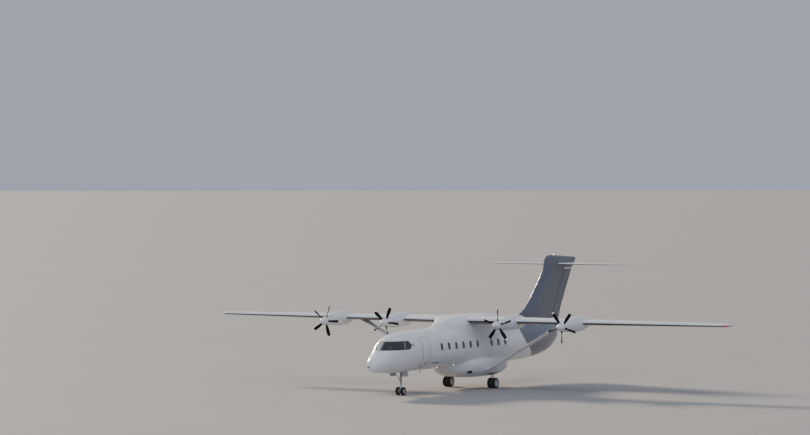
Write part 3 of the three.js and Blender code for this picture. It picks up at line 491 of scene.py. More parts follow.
@lru_cache(maxsize=None)
def unit_quarter(roundness, steps):
    """Evenly spaced points on the first quarter of a rounded unit section."""
    fine = []
    for i in range(FINE_STEPS):
        angle = math.pi / 2 * i / FINE_STEPS
        fine.append((abs(math.cos(angle)) ** (2 / roundness), math.sin(angle) ** (2 / roundness)))
    fine.append((0, 1))
    run = [0]
    for a, b in zip(fine, fine[1:]):
        run.append(run[-1] + math.dist(a, b))
    between_ends = [fine[bisect_right(run, run[-1] * i / steps)] for i in range(1, steps)]
    return [(1, 0), *between_ends, (0, 1)]


def body_ring(station, row, roundness, steps):
    """A rounded section across the aircraft from bottom, widest height, top and half width."""
    bottom, widest, top, half = row
    quarter = unit_quarter(roundness, steps)
    back = quarter[:0:-1]
    loop = quarter[:-1] + [(-a, u) for a, u in back]
    loop += [(-a, -u) for a, u in quarter[:-1]] + [(a, -u) for a, u in back]
    y = at_station(station)
    points = []
    for a, u in loop:
        height = top - widest if u > 0 else widest - bottom
        points.append(Vector((half * a, y, widest + u * height)))
    return points


def closing_rings(last, steps):
    """Rings that round an end off behind its last ring. Columns of steps: scale, distance back."""
    middle = sum(last, Vector()) / len(last)
    return [[middle + (p - middle) * part + Vector((0, back, 0)) for p in last] for part, back in steps]


# Meshes


class Shape:
    """Points and faces that become one mesh, with a finish number for each face."""

    def __init__(self):
        self.points = []
        self.faces = []
        self.finishes = []

    def add(self, points, faces, finish=0):
        base = len(self.points)
        self.points += [Vector(p) for p in points]
        self.faces += [[base + i for i in face] for face in faces]
        self.finishes += [finish] * len(faces)
        return self

    def moved(self, offset):
        self.points = [p + Vector(offset) for p in self.points]
        return self

    def mirror(self, sign):
        self.points = [Vector((sign * p.x, p.y, p.z)) for p in self.points]
        return self


def loft(shape, rings, finish=0, ends=True, finishes=None):
    """Quads between closed rings of equally many points, with flat ends where they are wanted."""
    count = len(rings[0])
    base = len(shape.points)
    finishes = finishes or [finish] * (len(rings) - 1)
    shape.points += [Vector(p) for ring in rings for p in ring]
    for row, number in enumerate(finishes):
        start = base + row * count
        for i in range(count):
            a, b = start + i, start + (i + 1) % count
            shape.faces.append((a, b, b + count, a + count))
        shape.finishes += [number] * count
    if ends:
        last = base + (len(rings) - 1) * count
        shape.faces += [list(range(base, base + count)), list(range(last, last + count))]
        shape.finishes += [finishes[0], finishes[-1]]
    return shape


def circle(middle, across, other, radius, sides):
    """Points round a circle between two directions at right angles."""
    return [middle + (across * math.cos(turn) + other * math.sin(turn)) * radius for turn in turns(sides)]


def turned(shape, start, end, profile, sides, finish=0):
    """A turned rod. Profile columns: distance from start towards end, radius."""
    start = Vector(start)
    along = (Vector(end) - start).normalized()
    across = along.orthogonal().normalized()
    other = along.cross(across)
    rings = []
    for distance, radius in profile:
        rings.append(circle(start + along * distance, across, other, max(radius, LEAST_RADIUS), sides))
    return loft(shape, rings, finish)


def rod(shape, start, end, radius, sides, finish=0):
    """A round bar with softened ends."""
    length = (Vector(end) - Vector(start)).length
    edge = min(radius * 0.2, length * 0.2)
    profile = [(0, radius - edge), (edge, radius), (length - edge, radius), (length, radius - edge)]
    return turned(shape, start, end, profile, sides, finish)


def tube(shape, path, radius, sides=8, finish=0):
    """A hose or wire along points, smoothed between them."""
    points = [Vector(p) for p in path]
    fine = []
    for i, (a, b) in enumerate(zip(points, points[1:])):
        before = points[max(i - 1, 0)]
        after = points[min(i + 2, len(points) - 1)]
        for t in (0, 0.25, 0.5, 0.75):
            fine.append(
                0.5 * (2 * a + (b - before) * t + (2 * before - 5 * a + 4 * b - after) * t * t
                       + (3 * a - before - 3 * b + after) * t ** 3)
            )
    fine.append(points[-1])
    rings = []
    across = (fine[1] - fine[0]).orthogonal().normalized()
    for i, point in enumerate(fine):
        along = (fine[min(i + 1, len(fine) - 1)] - fine[max(i - 1, 0)]).normalized()
        across = (across - along * across.dot(along)).normalized()
        rings.append(circle(point, across, along.cross(across), radius, sides))
    return loft(shape, rings, finish)


def slab(shape, outline, thickness, finish=0):
    """A flat plate: an outline of points, and the way and distance that it is thick."""
    points = [Vector(p) for p in outline]
    count = len(points)
    faces = [list(range(count)), [i + count for i in reversed(range(count))]]
    faces += [(i, (i + 1) % count, (i + 1) % count + count, i + count) for i in range(count)]
    return shape.add(points + [p + Vector(thickness) for p in points], faces, finish)


def rounded(corners, radius, scale=1.0, step=0.03):
    """A closed outline with rounded corners. Scale is metres for a unit of its first axis."""
    flat = [Vector((u * scale, v)) for u, v in corners]
    points = []
    for i, corner in enumerate(flat):
        before, after = flat[i - 1] - corner, flat[(i + 1) % len(flat)] - corner
        a = corner + before * min(radius / before.length, 0.45)
        b = corner + after * min(radius / after.length, 0.45)
        if points:
            last = points[-1]
            pieces = max(int((a - last).length / step), 1)
            points += [last.lerp(a, k / pieces) for k in range(1, pieces)]
        for k in range(7):
            t = k / 6
            points.append(a * (1 - t) ** 2 + corner * 2 * t * (1 - t) + b * t * t)
    last, first = points[-1], points[0]
    pieces = max(int((first - last).length / step), 1)
    points += [last.lerp(first, k / pieces) for k in range(1, pieces)]
    return [(p.x / scale, p.y) for p in points]


# Places on the skins


def outward(normal, point, heart):
    """The direction, or its opposite, that points away from the heart."""
    return normal if normal.dot(point - Vector(heart)) > 0 else -normal


def fuselage_heart(point):
    """A place deep inside the fuselage, level with a point."""
    return (0, point.y, 2.25)


def belly_heart(point):
    """A place deep inside the belly fairing."""
    return (0, point.y, 1.25)


def nose_heart(point):
    """The place inside the nose that the glazing's turns go round."""
    return (0, at_station(GLAZING_AXIS), 2.2)


class Skin:
    """A skin's places by two coordinates, and the directions out of it."""

    def __init__(self, place, heart, first_step=SKIN_STEP):
        self.place = place
        self.heart = heart
        self.first_step = first_step

    def spot(self, u, v):
        """The place, and the direction that points out of the skin there."""
        du = self.place(u + self.first_step, v) - self.place(u - self.first_step, v)
        dv = self.place(u, v + SKIN_STEP) - self.place(u, v - SKIN_STEP)
        point = self.place(u, v)
        return point, outward(du.cross(dv).normalized(), point, self.heart(point))


def flank(section_at, roundness, sign, heart):
    """A side of a rounded body, by station and height."""

    def place(station, z):
        bottom, widest, top, half = section_at(station)
        height = top - widest if z > widest else widest - bottom
        share = min(abs((z - widest) / height), 1)
        return Vector((sign * half * (1 - share**roundness) ** (1 / roundness), at_station(station), z))

    return Skin(place, heart)


def underneath(section_at, roundness, heart):
    """The bottom of a rounded body, by station and x."""

    def place(station, x):
        bottom, widest, _, half = section_at(station)
        share = min(abs(x / half), 1)
        drop = (widest - bottom) * (1 - share**roundness) ** (1 / roundness)
        return Vector((x, at_station(station), widest - drop))

    return Skin(place, heart)


def fuselage_side(sign):
    return flank(fuselage_at, ROUNDNESS, sign, fuselage_heart)


def fuselage_below():
    return underneath(fuselage_at, ROUNDNESS, fuselage_heart)


def belly_side(sign):
    return flank(belly_at, BELLY_ROUNDNESS, sign, belly_heart)


def belly_below():
    return underneath(belly_at, BELLY_ROUNDNESS, belly_heart)


def round_the_nose(turn, z):
    """The nose skin's place at a height and a turn from straight ahead about the glazing's axis."""
    across, ahead = math.sin(math.radians(turn)), math.cos(math.radians(turn))

    def inside(reach):
        station = GLAZING_AXIS - reach * ahead
        if station < NOSE_TIP:
            return False
        bottom, widest, top, half = fuselage_at(station)
        height = top - widest if z > widest else widest - bottom
        return abs(reach * across / half) ** ROUNDNESS + abs((z - widest) / height) ** ROUNDNESS < 1

    reach = edge_of(inside, *NOSE_REACH, NOSE_HALVINGS)
    return Vector((reach * across, at_station(GLAZING_AXIS - reach * ahead), z))


def nose_side(sign, step=TURN_STEP):
    """The nose skin, by turn towards a side and height."""
    return Skin(lambda turn, z: round_the_nose(sign * turn, z), nose_heart, step)


def plate(shape, skin, outline, rise, rings=5, finish=0):
    """A thin plate on a skin that fills an outline, turned down into the skin at its edge."""
    count = len(outline)
    middle_u = sum(u for u, _ in outline) / count
    middle_v = sum(v for _, v in outline) / count
    centre, normal = skin.spot(middle_u, middle_v)
    points = [centre + normal * rise]
    for row in range(1, rings + 1):
        part = row / rings
        spots = [skin.spot(between(middle_u, u, part), between(middle_v, v, part)) for u, v in outline]
        points += [point + normal * rise for point, normal in spots]
    points += [point - normal * SINK for point, normal in spots]
    faces = [(0, 1 + i, 1 + (i + 1) % count) for i in range(count)]
    for row in range(rings):
        for i in range(count):
            a = 1 + row * count + i
            b = 1 + row * count + (i + 1) % count
            faces.append((a, b, b + count, a + count))
    return shape.add(points, faces, finish)


def band(shape, spots, width, rise, closed=True, finish=0):
    """A flat strip along spots on a skin, each a point and the outward direction there."""
    count = len(spots)
    points = []
    for i, (point, normal) in enumerate(spots):
        after = spots[(i + 1) % count][0] if closed or i + 1 < count else point
        before = spots[i - 1][0] if closed or i > 0 else point
        side = normal.cross(after - before).normalized() * (width / 2)
        points += [
            point - side - normal * SINK,
            point - side + normal * rise,
            point + side + normal * rise,
            point + side - normal * SINK,
        ]
    faces = []
    for i in range(count if closed else count - 1):
        a, b = 4 * i, 4 * ((i + 1) % count)
        faces += [(a + k, b + k, b + (k + 1) % 4, a + (k + 1) % 4) for k in range(4)]
    if not closed:
        faces += [(0, 1, 2, 3), tuple(4 * (count - 1) + k for k in (3, 2, 1, 0))]
    return shape.add(points, faces, finish)


def band_on(shape, skin, outline, width, rise, closed=True, finish=0):
    """A flat strip along an outline on a skin."""
    return band(shape, [skin.spot(u, v) for u, v in outline], width, rise, closed, finish)


def stud(shape, spot, profile, sides):
    """A turned fitting on a skin, with its foot a little below the surface."""
    point, normal = spot
    return turned(shape, point - normal * FOOT_DEPTH, point + normal, profile, sides)


# Pieces


def piece(name, shape, finishes, stands_for=(), sharp=38, bevel=0.0, body="airframe"):
    """Makes a shape an object that rides on a body and stands for CAD nodes."""
    mesh = bpy.data.meshes.new(name)
    mesh.from_pydata(shape.points, [], shape.faces)
    mesh.polygons.foreach_set("material_index", shape.finishes)
    work = bmesh.new()
    work.from_mesh(mesh)
    bmesh.ops.remove_doubles(work, verts=work.verts, dist=SAME_POINT)
    bmesh.ops.recalc_face_normals(work, faces=work.faces)
    work.to_mesh(mesh)
    work.free()
    mesh.shade_smooth()
    mesh.set_sharp_from_angle(angle=math.radians(sharp))
    for finish in finishes:
        mesh.materials.append(material(finish))
    made = bpy.data.objects.new(name, mesh)
    bpy.context.scene.collection.objects.link(made)
    if bevel:
        soft = made.modifiers.new("Soft edges", "BEVEL")
        soft.width = bevel
        soft.segments = 2
        soft.limit_method = "ANGLE"
        soft.angle_limit = math.radians(50)
    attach(made, body)
    if stands_for:
        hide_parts(*stands_for)
        for node in stands_for:
            dress_node(node, finishes[0])
    return made


def dress_node(node, finish):
    """Gives a CAD node a finish."""
    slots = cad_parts[node].data.materials
    slots.clear()
    slots.append(material(finish))


# Materials


class Finish:
    """A material's nodes, added with short calls."""

    def __init__(self, name):
        self.material = bpy.data.materials.new(name)
        self.material.use_nodes = True
        self.tree = self.material.node_tree
        self.shader = self.tree.nodes["Principled BSDF"]
        self.place = self.tree.nodes.new("ShaderNodeTexCoord").outputs["Object"]

    def set(self, **values):
        for key, value in values.items():
            self.shader.inputs[key.replace("_", " ")].default_value = value

    def link(self, output, name):
        self.tree.links.new(output, self.shader.inputs[name])

    def add(self, kind, links=(), **settings):
        node = self.tree.nodes.new(kind)
        for key, value in settings.items():
            setattr(node, key, value)
        for index, value in links:
            if isinstance(value, bpy.types.NodeSocket):
                self.tree.links.new(value, node.inputs[index])
            else:
                node.inputs[index].default_value = value
        return node

    def normal(self, letter):
        facing = self.add("ShaderNodeTexCoord").outputs["Normal"]
        return self.add("ShaderNodeSeparateXYZ", [("Vector", facing)]).outputs[letter]

    def noise(self, scale, detail, stretch=None):
        place = self.place
        if stretch:
            place = self.add("ShaderNodeMapping", [("Vector", place), ("Scale", stretch)]).outputs[0]
        links = [("Vector", place), ("Scale", scale), ("Detail", detail)]
        return self.add("ShaderNodeTexNoise", links).outputs["Fac"]

    def math(self, operation, a, b=0.0, clamp=False):
        return self.add("ShaderNodeMath", [(0, a), (1, b)], operation=operation, use_clamp=clamp).outputs[0]

    def to_range(self, value, low, high):
        """Stretches the middle of a noise to lie between two numbers."""
        links = [("Value", value), ("From Min", 0.3), ("From Max", 0.7), ("To Min", low), ("To Max", high)]
        return self.add("ShaderNodeMapRange", links, clamp=True).outputs[0]

    def spread(self, scale, detail, low=0.0, high=1.0):
        """A noise that lies between two numbers."""
        return self.to_range(self.noise(scale, detail), low, high)

    def mix(self, factor, a, b):
        return self.add("ShaderNodeMix", [(0, factor), (6, a), (7, b)], data_type="RGBA").outputs[2]

    def axis(self, letter):
        return self.add("ShaderNodeSeparateXYZ", [(0, self.place)]).outputs[letter]

    def seams(self, letter, pitch, width, start):
        """1 on thin lines across an axis, and 0 between them."""
        count = self.math("MULTIPLY", self.math("ADD", self.axis(letter), start), 1 / pitch)
        off = self.math("ABSOLUTE", self.math("SUBTRACT", self.math("FRACT", count), 0.5))
        return self.math("LESS_THAN", off, width / pitch / 2)

    def bump(self, height, strength, distance):
        links = [("Height", height), ("Strength", strength), ("Distance", distance)]
        self.link(self.add("ShaderNodeBump", links).outputs[0], "Normal")


def shade(colour, factor):
    """A colour made darker or lighter."""
    return tuple(min(channel * factor, 1) for channel in colour[:3]) + (1,)


def slate_share(finish):
    """1 where the tail's slate paint covers the fuselage, from the curved edge backwards."""
    edge = SLATE_EDGE
    drop = finish.math("DIVIDE", finish.math("SUBTRACT", edge["height"], finish.axis("Z")), edge["depth"])
    sweep = finish.math("POWER", finish.math("MAXIMUM", drop, 0.0), edge["power"])
    start = finish.math("ADD", finish.math("MULTIPLY", sweep, edge["reach"]), at_station(edge["station"]))
    past = finish.math("SUBTRACT", finish.axis("Y"), start)
    return finish.math("MULTIPLY", past, 150.0, clamp=True)


def paint(finish, colour, seams=(), two_tone=None, grime=0.5, underside_shade=0.0):
    """Glossy aircraft paint with faint cloudiness, fine dust and panel seams."""
    cloud = finish.spread(0.6, 4)
    colours = finish.mix(cloud, shade(colour, 0.94), shade(colour, 1.03))
    if two_tone:
        other = finish.mix(cloud, shade(two_tone, 0.93), shade(two_tone, 1.06))
        colours = finish.mix(slate_share(finish), colours, other)
    streak = finish.to_range(finish.noise(1.8, 5, (1.0, 0.25, 1.0)), 0.0, 0.12 * grime)
    colours = finish.mix(streak, colours, DUST)
    # Painted shade: surfaces that face down are mixed towards a dark grey, standing in for the shade below
    # them.
    if underside_shade:
        facing_down = finish.math("MULTIPLY", finish.normal("Z"), -3.0, clamp=True)
        colours = finish.mix(finish.math("MULTIPLY", facing_down, underside_shade), colours, PAINTED_UNDERSIDE_SHADE)
    height = finish.noise(1.3, 2)
    for letter, pitch, width, start in seams:
        line = finish.seams(letter, pitch, width, start)
        colours = finish.mix(finish.math("MULTIPLY", line, 0.35), colours, SEAM_GREY)
        height = finish.math("SUBTRACT", height, finish.math("MULTIPLY", line, 0.4))
    finish.link(colours, "Base Color")
    finish.link(finish.spread(2.2, 4, 0.24, 0.4), "Roughness")
    finish.set(Coat_Weight=0.35, Coat_Roughness=0.12, IOR=1.5)
    finish.bump(height, 0.12, 0.01)


def glass(finish, colour, rough=0.06):
    """Dark glazing in patches of two depths, with a faint film of dust."""
    film = finish.spread(3.0, 5, 0.0, 0.22)
    deep = finish.mix(finish.spread(0.9, 2), shade(colour, 0.75), shade(colour, 1.25))
    finish.link(finish.mix(film, deep, shade(colour, 2.2)), "Base Color")
    finish.link(finish.spread(5.0, 4, rough, rough + 0.08), "Roughness")
    finish.set(IOR=1.52, Coat_Weight=0.6, Coat_Roughness=0.03)


def rubber(finish, colour):
    """Tyre rubber with dusty, slightly browned patches and a fine grain."""
    finish.link(finish.mix(finish.spread(7, 5, 0.0, 0.4), colour, BROWN_DUST), "Base Color")
    finish.link(finish.spread(12, 3, 0.62, 0.9), "Roughness")
    finish.bump(finish.noise(160, 3), 0.25, 0.002)


def metal(finish, colour, rough, metallic=1.0, grain=40.0):
    """Metal with a fine grain, darker in patches."""
    finish.link(finish.mix(finish.spread(6, 4), shade(colour, 0.72), shade(colour, 1.08)), "Base Color")
    finish.link(finish.spread(grain, 3, rough * 0.75, rough * 1.3), "Roughness")
    finish.set(Metallic=metallic)
    finish.bump(finish.noise(grain * 3, 2), 0.12, 0.002)


def blade_finish(finish, colour):
    """Black composite with a faint weave, scuffed in patches."""
    finish.link(finish.mix(finish.spread(9, 5, 0.0, 0.3), colour, shade(colour, 2.4)), "Base Color")
    finish.link(finish.spread(22, 3, 0.5, 0.7), "Roughness")
    weave = finish.add("ShaderNodeTexWave", [("Vector", finish.place), ("Scale", 60.0), ("Distortion", 0.6)])
    finish.bump(weave.outputs["Fac"], 0.06, 0.001)
    finish.set(Specular_IOR_Level=0.04)


def lens(finish, colour, glow):
    """A lamp's coloured cover with fine ribs."""
    ribs = finish.add("ShaderNodeTexWave", [("Vector", finish.place), ("Scale", 90.0)]).outputs["Fac"]
    finish.link(finish.mix(ribs, shade(colour, 0.7), colour), "Base Color")
    finish.bump(ribs, 0.3, 0.002)
    finish.set(Roughness=0.08, Coat_Weight=1.0, Emission_Color=colour, Emission_Strength=glow)


def matt(finish, colour, other, scale, rough):
    """A dull finish in two close tones."""
    finish.link(finish.mix(finish.spread(scale, 4), colour, other), "Base Color")
    finish.link(finish.spread(scale * 3, 3, rough - 0.12, rough + 0.1), "Roughness")
    finish.bump(finish.noise(scale * 12, 3), 0.1, 0.003)


# How each finish is filled in, from the colours in the settings.
FINISHES = {
    "fuselage paint": lambda f, c: paint(f, c.white, FUSELAGE_SEAMS, c.slate),
    # The wing and tailplane paint carries painted shade on its undersides.
    "white paint with painted underside shade": lambda f, c: paint(f, c.white, WING_SEAMS, underside_shade=0.93),
    # The bay doors' white, darkened to a mid-tone as painted shade.
    "door paint with painted shade": lambda f, c: paint(f, shade(c.white, 0.6), grime=0.8),
    "cowling paint": lambda f, c: paint(f, c.white, grime=0.8),
    "slate paint": lambda f, c: paint(f, c.slate, FIN_SEAMS),
    "tip white": lambda f, c: paint(f, c.tip, grime=0.3),
    "cockpit glass": lambda f, c: glass(f, c.glass),
    # Pale glass: a painted reflection of a bright sky.
    "glass with painted sky reflection": lambda f, c: glass(f, c.sky_reflection_glass, 0.12),
    "cabin glass": lambda f, c: glass(f, shade(c.glass, 0.7), 0.1),
    "seal": lambda f, c: matt(f, (0.035, 0.036, 0.04, 1), (0.06, 0.06, 0.065, 1), 9.0, 0.6),
    "seam": lambda f, c: matt(f, (0.2, 0.205, 0.215, 1), (0.27, 0.275, 0.285, 1), 9.0, 0.7),
    "window frame": lambda f, c: metal(f, (0.62, 0.64, 0.67, 1), 0.35, 0.3, 60.0),
    "blade black": lambda f, c: blade_finish(f, c.blade),
    "tyre": lambda f, c: rubber(f, c.tyre),
    "wheel metal": lambda f, c: metal(f, c.wheel, 0.38, 0.35),
    "gear metal": lambda f, c: metal(f, c.gear, 0.4, 0.25),
    "chrome": lambda f, c: metal(f, (0.8, 0.81, 0.83, 1), 0.12, 1.0, 90.0),
    "dark steel": lambda f, c: metal(f, (0.16, 0.165, 0.175, 1), 0.4, 0.8),
    "motor metal": lambda f, c: metal(f, (0.42, 0.43, 0.45, 1), 0.4),
    "hose": lambda f, c: matt(f, (0.02, 0.02, 0.022, 1), (0.04, 0.04, 0.042, 1), 20.0, 0.5),
    "bay primer": lambda f, c: matt(f, (0.42, 0.45, 0.4, 1), (0.52, 0.54, 0.49, 1), 5.0, 0.6),
    # Near black, painted as the shade inside slots, vents, openings and holes.
    "painted shade of openings": lambda f, c: matt(f, (0.012, 0.012, 0.014, 1), (0.03, 0.03, 0.032, 1), 8.0, 0.75),
    "red lens": lambda f, c: lens(f, (0.75, 0.03, 0.02, 1), 0.35),
    "green lens": lambda f, c: lens(f, (0.02, 0.5, 0.14, 1), 0.35),
    "clear lens": lambda f, c: lens(f, (0.9, 0.9, 0.86, 1), 0.5),
    "bright lens": lambda f, c: lens(f, (1.0, 0.97, 0.9, 1), 3.0),
    "floor": lambda f, c: matt(f, c.floor, shade(c.floor, 0.97), 0.05, 0.75),
}
made_finishes = {}


def material(name):
    """The finish of that name, made once."""
    if name not in made_finishes:
        finish = Finish(name)
        FINISHES[name](finish, bpy.context.scene.airliner_colours)
        made_finishes[name] = finish.material
    return made_finishes[name]


def sizes():
    return bpy.context.scene.airliner_sizes


# Fuselage


def fairing_reach(station, centre, cosine, sine):
    """How far the wing fairing reaches from the fuselage's middle in a direction, or 0."""
    if sine <= 0 or not WING_FAIRING[0][0] < station < WING_FAIRING[-1][0]:
        return 0
    top, half, roundness = wing_fairing_at(station)

    def inside(reach):
        height = max(centre + reach * sine - FAIRING_WIDEST, 0) / (top - FAIRING_WIDEST)
        return abs(reach * cosine / half) ** roundness + height**roundness <= 1

    return edge_of(inside, *FAIRING_REACH, FAIRING_HALVINGS)


def fuselage_ring(station):
    """A fuselage section with the wing fairing blended into it."""
    bottom, widest, top, half = fuselage_at(station)
    points = []
    for angle in RING_ANGLES:
        cosine, sine = math.cos(angle), math.sin(angle)
        height = top - widest if sine > 0 else widest - bottom
        body = (abs(cosine / half) ** ROUNDNESS + abs(sine / height) ** ROUNDNESS) ** (-1 / ROUNDNESS)
        fairing = fairing_reach(station, widest, cosine, sine)
        share = smoothstep((widest + body * sine - BLEND_START) / BLEND_RISE)
        blend = sizes().fairing_blend * share + 1e-6
        reach = max(body, fairing) + max(blend - abs(body - fairing), 0) ** 2 / (4 * blend)
        points.append(Vector((reach * cosine, at_station(station), widest + reach * sine)))
    return points


def seam_ring(shape, station):
    """A seam round the fuselage."""
    ring = fuselage_ring(station)
    spots = []
    for i, point in enumerate(ring):
        along = ring[(i + 1) % len(ring)] - ring[i - 1]
        normal = along.cross(Vector((0, 1, 0))).normalized()
        spots.append((point, outward(normal, point, fuselage_heart(point))))
    return band(shape, spots, 0.012, 0.0015)


def build_nose():
    stations = [NOSE_TIP + (NOSE_JOINT - NOSE_TIP) * (i / 60) ** 2 for i in range(61)]
    rings = [fuselage_ring(station) for station in stations]
    tip = [Vector((p.x * 0.45, p.y - 0.005, 1.65 + (p.z - 1.65) * 0.45)) for p in rings[0]]
    shape = loft(Shape(), [tip] + rings)
    skin = piece("nose_skin", shape, ["fuselage paint"], ("fuselage_nose",))
    open_bay(skin)
    build_bay()


def open_bay(skin):
    """Cuts the nose gear's bay out of the bottom of the nose skin."""
    work = bmesh.new()
    work.from_mesh(skin.data)
    front, back, half = at_station(BAY["front"]), at_station(BAY["back"]), BAY["half"]
    across, along = (1, 0, 0), (0, 1, 0)
    planes = (((half, 0, 0), across), ((-half, 0, 0), across), ((0, front, 0), along), ((0, back, 0), along))
    for point, normal in planes:
        low = []
        for face in work.faces:
            middle = face.calc_center_median()
            if middle.z < BAY_CUT_TOP and middle.y > front - BAY_CUT_MARGIN:
                low.append(face)
        edges = {edge for face in low for edge in face.edges}
        verts = {vert for face in low for vert in face.verts}
        bmesh.ops.bisect_plane(work, geom=list(verts) + list(edges) + low, plane_co=point, plane_no=normal)
    gone = []
    for face in work.faces:
        middle = face.calc_center_median()
        inside = abs(middle.x) < half and front < middle.y < back and middle.z < BAY_CUT_TOP
        is_end_cap = len(face.verts) > 8
        if inside and not is_end_cap:
            gone.append(face)
    bmesh.ops.delete(work, geom=gone, context="FACES")
    work.to_mesh(skin.data)
    work.free()


def build_bay():
    """The bay's walls and roof with stiffeners, and a rim round its opening."""
    half, roof = BAY["half"], BAY["ceiling"]
    corners = [(BAY["front"], -half), (BAY["front"], half), (BAY["back"], half), (BAY["back"], -half)]
    skin = fuselage_below()
    low = [skin.place(station, x) for station, x in corners]
    high = [Vector((x, at_station(station), roof)) for station, x in corners]
    faces = [(i, (i + 1) % 4, (i + 1) % 4 + 4, i + 4) for i in range(4)] + [(4, 5, 6, 7)]
    shape = Shape().add(low + high, faces)
    for x in (-half + 0.004, half - 0.004):
        for front in map(at_station, WALL_RIBS):
            back = front + RIB_WIDTH
            outline = [(x, front, RIB_FOOT), (x, back, RIB_FOOT), (x, back, roof), (x, front, roof)]
            slab(shape, outline, (math.copysign(0.02, -x), 0, 0))
    for front in map(at_station, ROOF_RIBS):
        back = front + RIB_WIDTH
        outline = [(-half, front, roof), (half, front, roof), (half, back, roof), (-half, back, roof)]
        slab(shape, outline, (0, 0, -0.022))
    piece("nose_bay_walls", shape, ["bay primer"])
    rim = band_on(Shape(), skin, rounded(corners, 0.02, step=0.06), 0.02, 0.003)
    piece("nose_bay_rim", rim, ["seam"])


def build_cabin():
    stations = spans((NOSE_JOINT, 18), (WING_FAIRING[0][0], 42), (8.2, 60), (TAIL_JOINT, 0))
    shape = loft(Shape(), [fuselage_ring(station) for station in stations])
    piece("cabin_skin", shape, ["fuselage paint"], ("fuselage_cabin", "wing_fairing"))
    seams = Shape()
    for station in (NOSE_JOINT, TAIL_JOINT):
        seam_ring(seams, station)
    piece("fuselage_seams", seams, ["seam"])


def build_tail():
    rings = [fuselage_ring(station) for station in spans((TAIL_JOINT, 60), (19.9, 24), (TAIL_END, 0))]
    rings += closing_rings(rings[-1], TAIL_CAP)
    piece("tail_skin", loft(Shape(), rings), ["fuselage paint"], ("fuselage_tail",))


def build_belly():
    stations = spans((BELLY_FAIRING[0][0], 24), (8.3, 44), (12.7, 18), (BELLY_FAIRING[-1][0], 0))
    rings = [body_ring(s, belly_at(s), BELLY_ROUNDNESS, BELLY_STEPS) for s in stations]
    nodes = ("belly_fairing_port", "belly_fairing_starboard")
    piece("belly_fairing_skin", loft(Shape(), rings), ["cowling paint"], nodes)
    details = Shape()
    below = belly_below()
    lines = [[(station, 0.95 + 0.04 * i) for i in range(17)] for station in BELLY_SEAMS]
    lines.append([(station, BELLY_LINE_Z) for station in span(8.15, 12.6, 40)])
    for _, sign in SIDES:
        side = belly_side(sign)
        # Dark plates painted as the shade inside the slot and, below, the gear's opening.
        plate(details, side, rounded(BELLY_SLOT, 0.02), 0.003)
        for line in lines:
            band_on(details, side, line, SEAM_WIDTH, SEAM_RISE, closed=False, finish=1)
        opening = rounded([(station, sign * x) for station, x in GEAR_OPENING], 0.08)
        plate(details, below, opening, 0.003, rings=3)
        band_on(details, below, opening, 0.02, 0.006, finish=2)
    piece("belly_details", details, ["painted shade of openings", "seam", "gear metal"])


# Glazing, windows and doors


def split_pane(outline, turn):
    """The parts of a pane before and behind a turn."""
    before, behind = [], []
    for (u0, v0), (u1, v1) in zip(outline, outline[1:] + outline[:1]):
        (before if u0 <= turn else behind).append((u0, v0))
        if (u0 - turn) * (u1 - turn) < 0:
            crossing = (turn, between(v0, v1, (turn - u0) / (u1 - u0)))
            before.append(crossing)
            behind.append(crossing)
    return closely(before), closely(behind)


def closely(outline):
    """A closed outline with points added wherever two stand further apart in height."""
    points = []
    for (u0, v0), (u1, v1) in zip(outline, outline[1:] + outline[:1]):
        pieces = max(math.ceil(abs(v1 - v0) / PANE_STEP), 1)
        points += [(between(u0, u1, i / pieces), between(v0, v1, i / pieces)) for i in range(pieces)]
    return points


def build_glazing():
    outline = rounded(SIDE_PANE, 0.035, METRES_A_DEGREE, 0.035)
    front, back = split_pane(outline, SCREEN_TURN)
    post = [(SCREEN_TURN, z) for z in span(*POST_HEIGHTS, 8)]
    pale = [[between(a, b, part) for a, b in zip(*PAINTED_REFLECTION_STRIP)] for part in span(0, 1, 6)]
    panes, rims, wipers = Shape(), Shape(), Shape()
    for _, sign in SIDES:
        skin = nose_side(sign)
        # The starboard front pane is pale, a painted sky reflection.
        plate(panes, skin, front, 0.005, rings=16, finish=0 if sign > 0 else 1)
        plate(panes, skin, back, 0.005, rings=16)
        band_on(rims, skin, outline, 0.02, 0.008)
        band_on(rims, skin, post, 0.014, 0.0065, closed=False, finish=2)
        # A pale strip painted as a reflection on the side glazing.
        band_on(rims, skin, pale, 0.03, 0.0065, closed=False, finish=1)
        for path, rise, radius in WIPER:
            spots = [skin.spot(turn, z) for turn, z in path]
            tube(wipers, [point + normal * rise for point, normal in spots], radius)
    piece("cockpit_panes", panes, ["cockpit glass", "glass with painted sky reflection"], ("cockpit_glazing",))
    piece("cockpit_pane_rims", rims, ["seal", "window frame", "hose"])
    piece("windscreen_wipers", wipers, ["hose"])


def squared(value):
    """A cosine or sine that makes a circle's sides flatter."""
    return math.copysign(abs(value) ** WINDOW_SQUARENESS, value)


def window_outline(grow=0.0):
    """A cabin window's rounded outline, grown by a distance."""
    half_wide = sizes().window_width / 2 + grow
    half_high = sizes().window_height / 2 + grow
    points = []
    for angle in turns(32):
        across, up = squared(math.cos(angle)), squared(math.sin(angle))
        points.append((FIRST_WINDOW + half_wide * across, WINDOW_Z + half_high * up))
    return points


def build_windows():
    for side, sign in SIDES:
        skin = fuselage_side(sign)
        shape = plate(Shape(), skin, window_outline(), 0.002, rings=4)
        band_on(shape, skin, window_outline(0.012), 0.022, 0.006, finish=1)
        band_on(shape, skin, window_outline(-0.004), 0.01, 0.004, finish=2)
        names = ["cabin glass", "window frame", "seal"]
        first = piece(f"cabin_window_{side}_0", shape, names)
        for number in WINDOW_PLACES:
            copy = bpy.data.objects.new(f"cabin_window_{side}_{number}", first.data)
            bpy.context.scene.collection.objects.link(copy)
            copy.location.y = number * sizes().window_pitch
            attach(copy, "airframe")


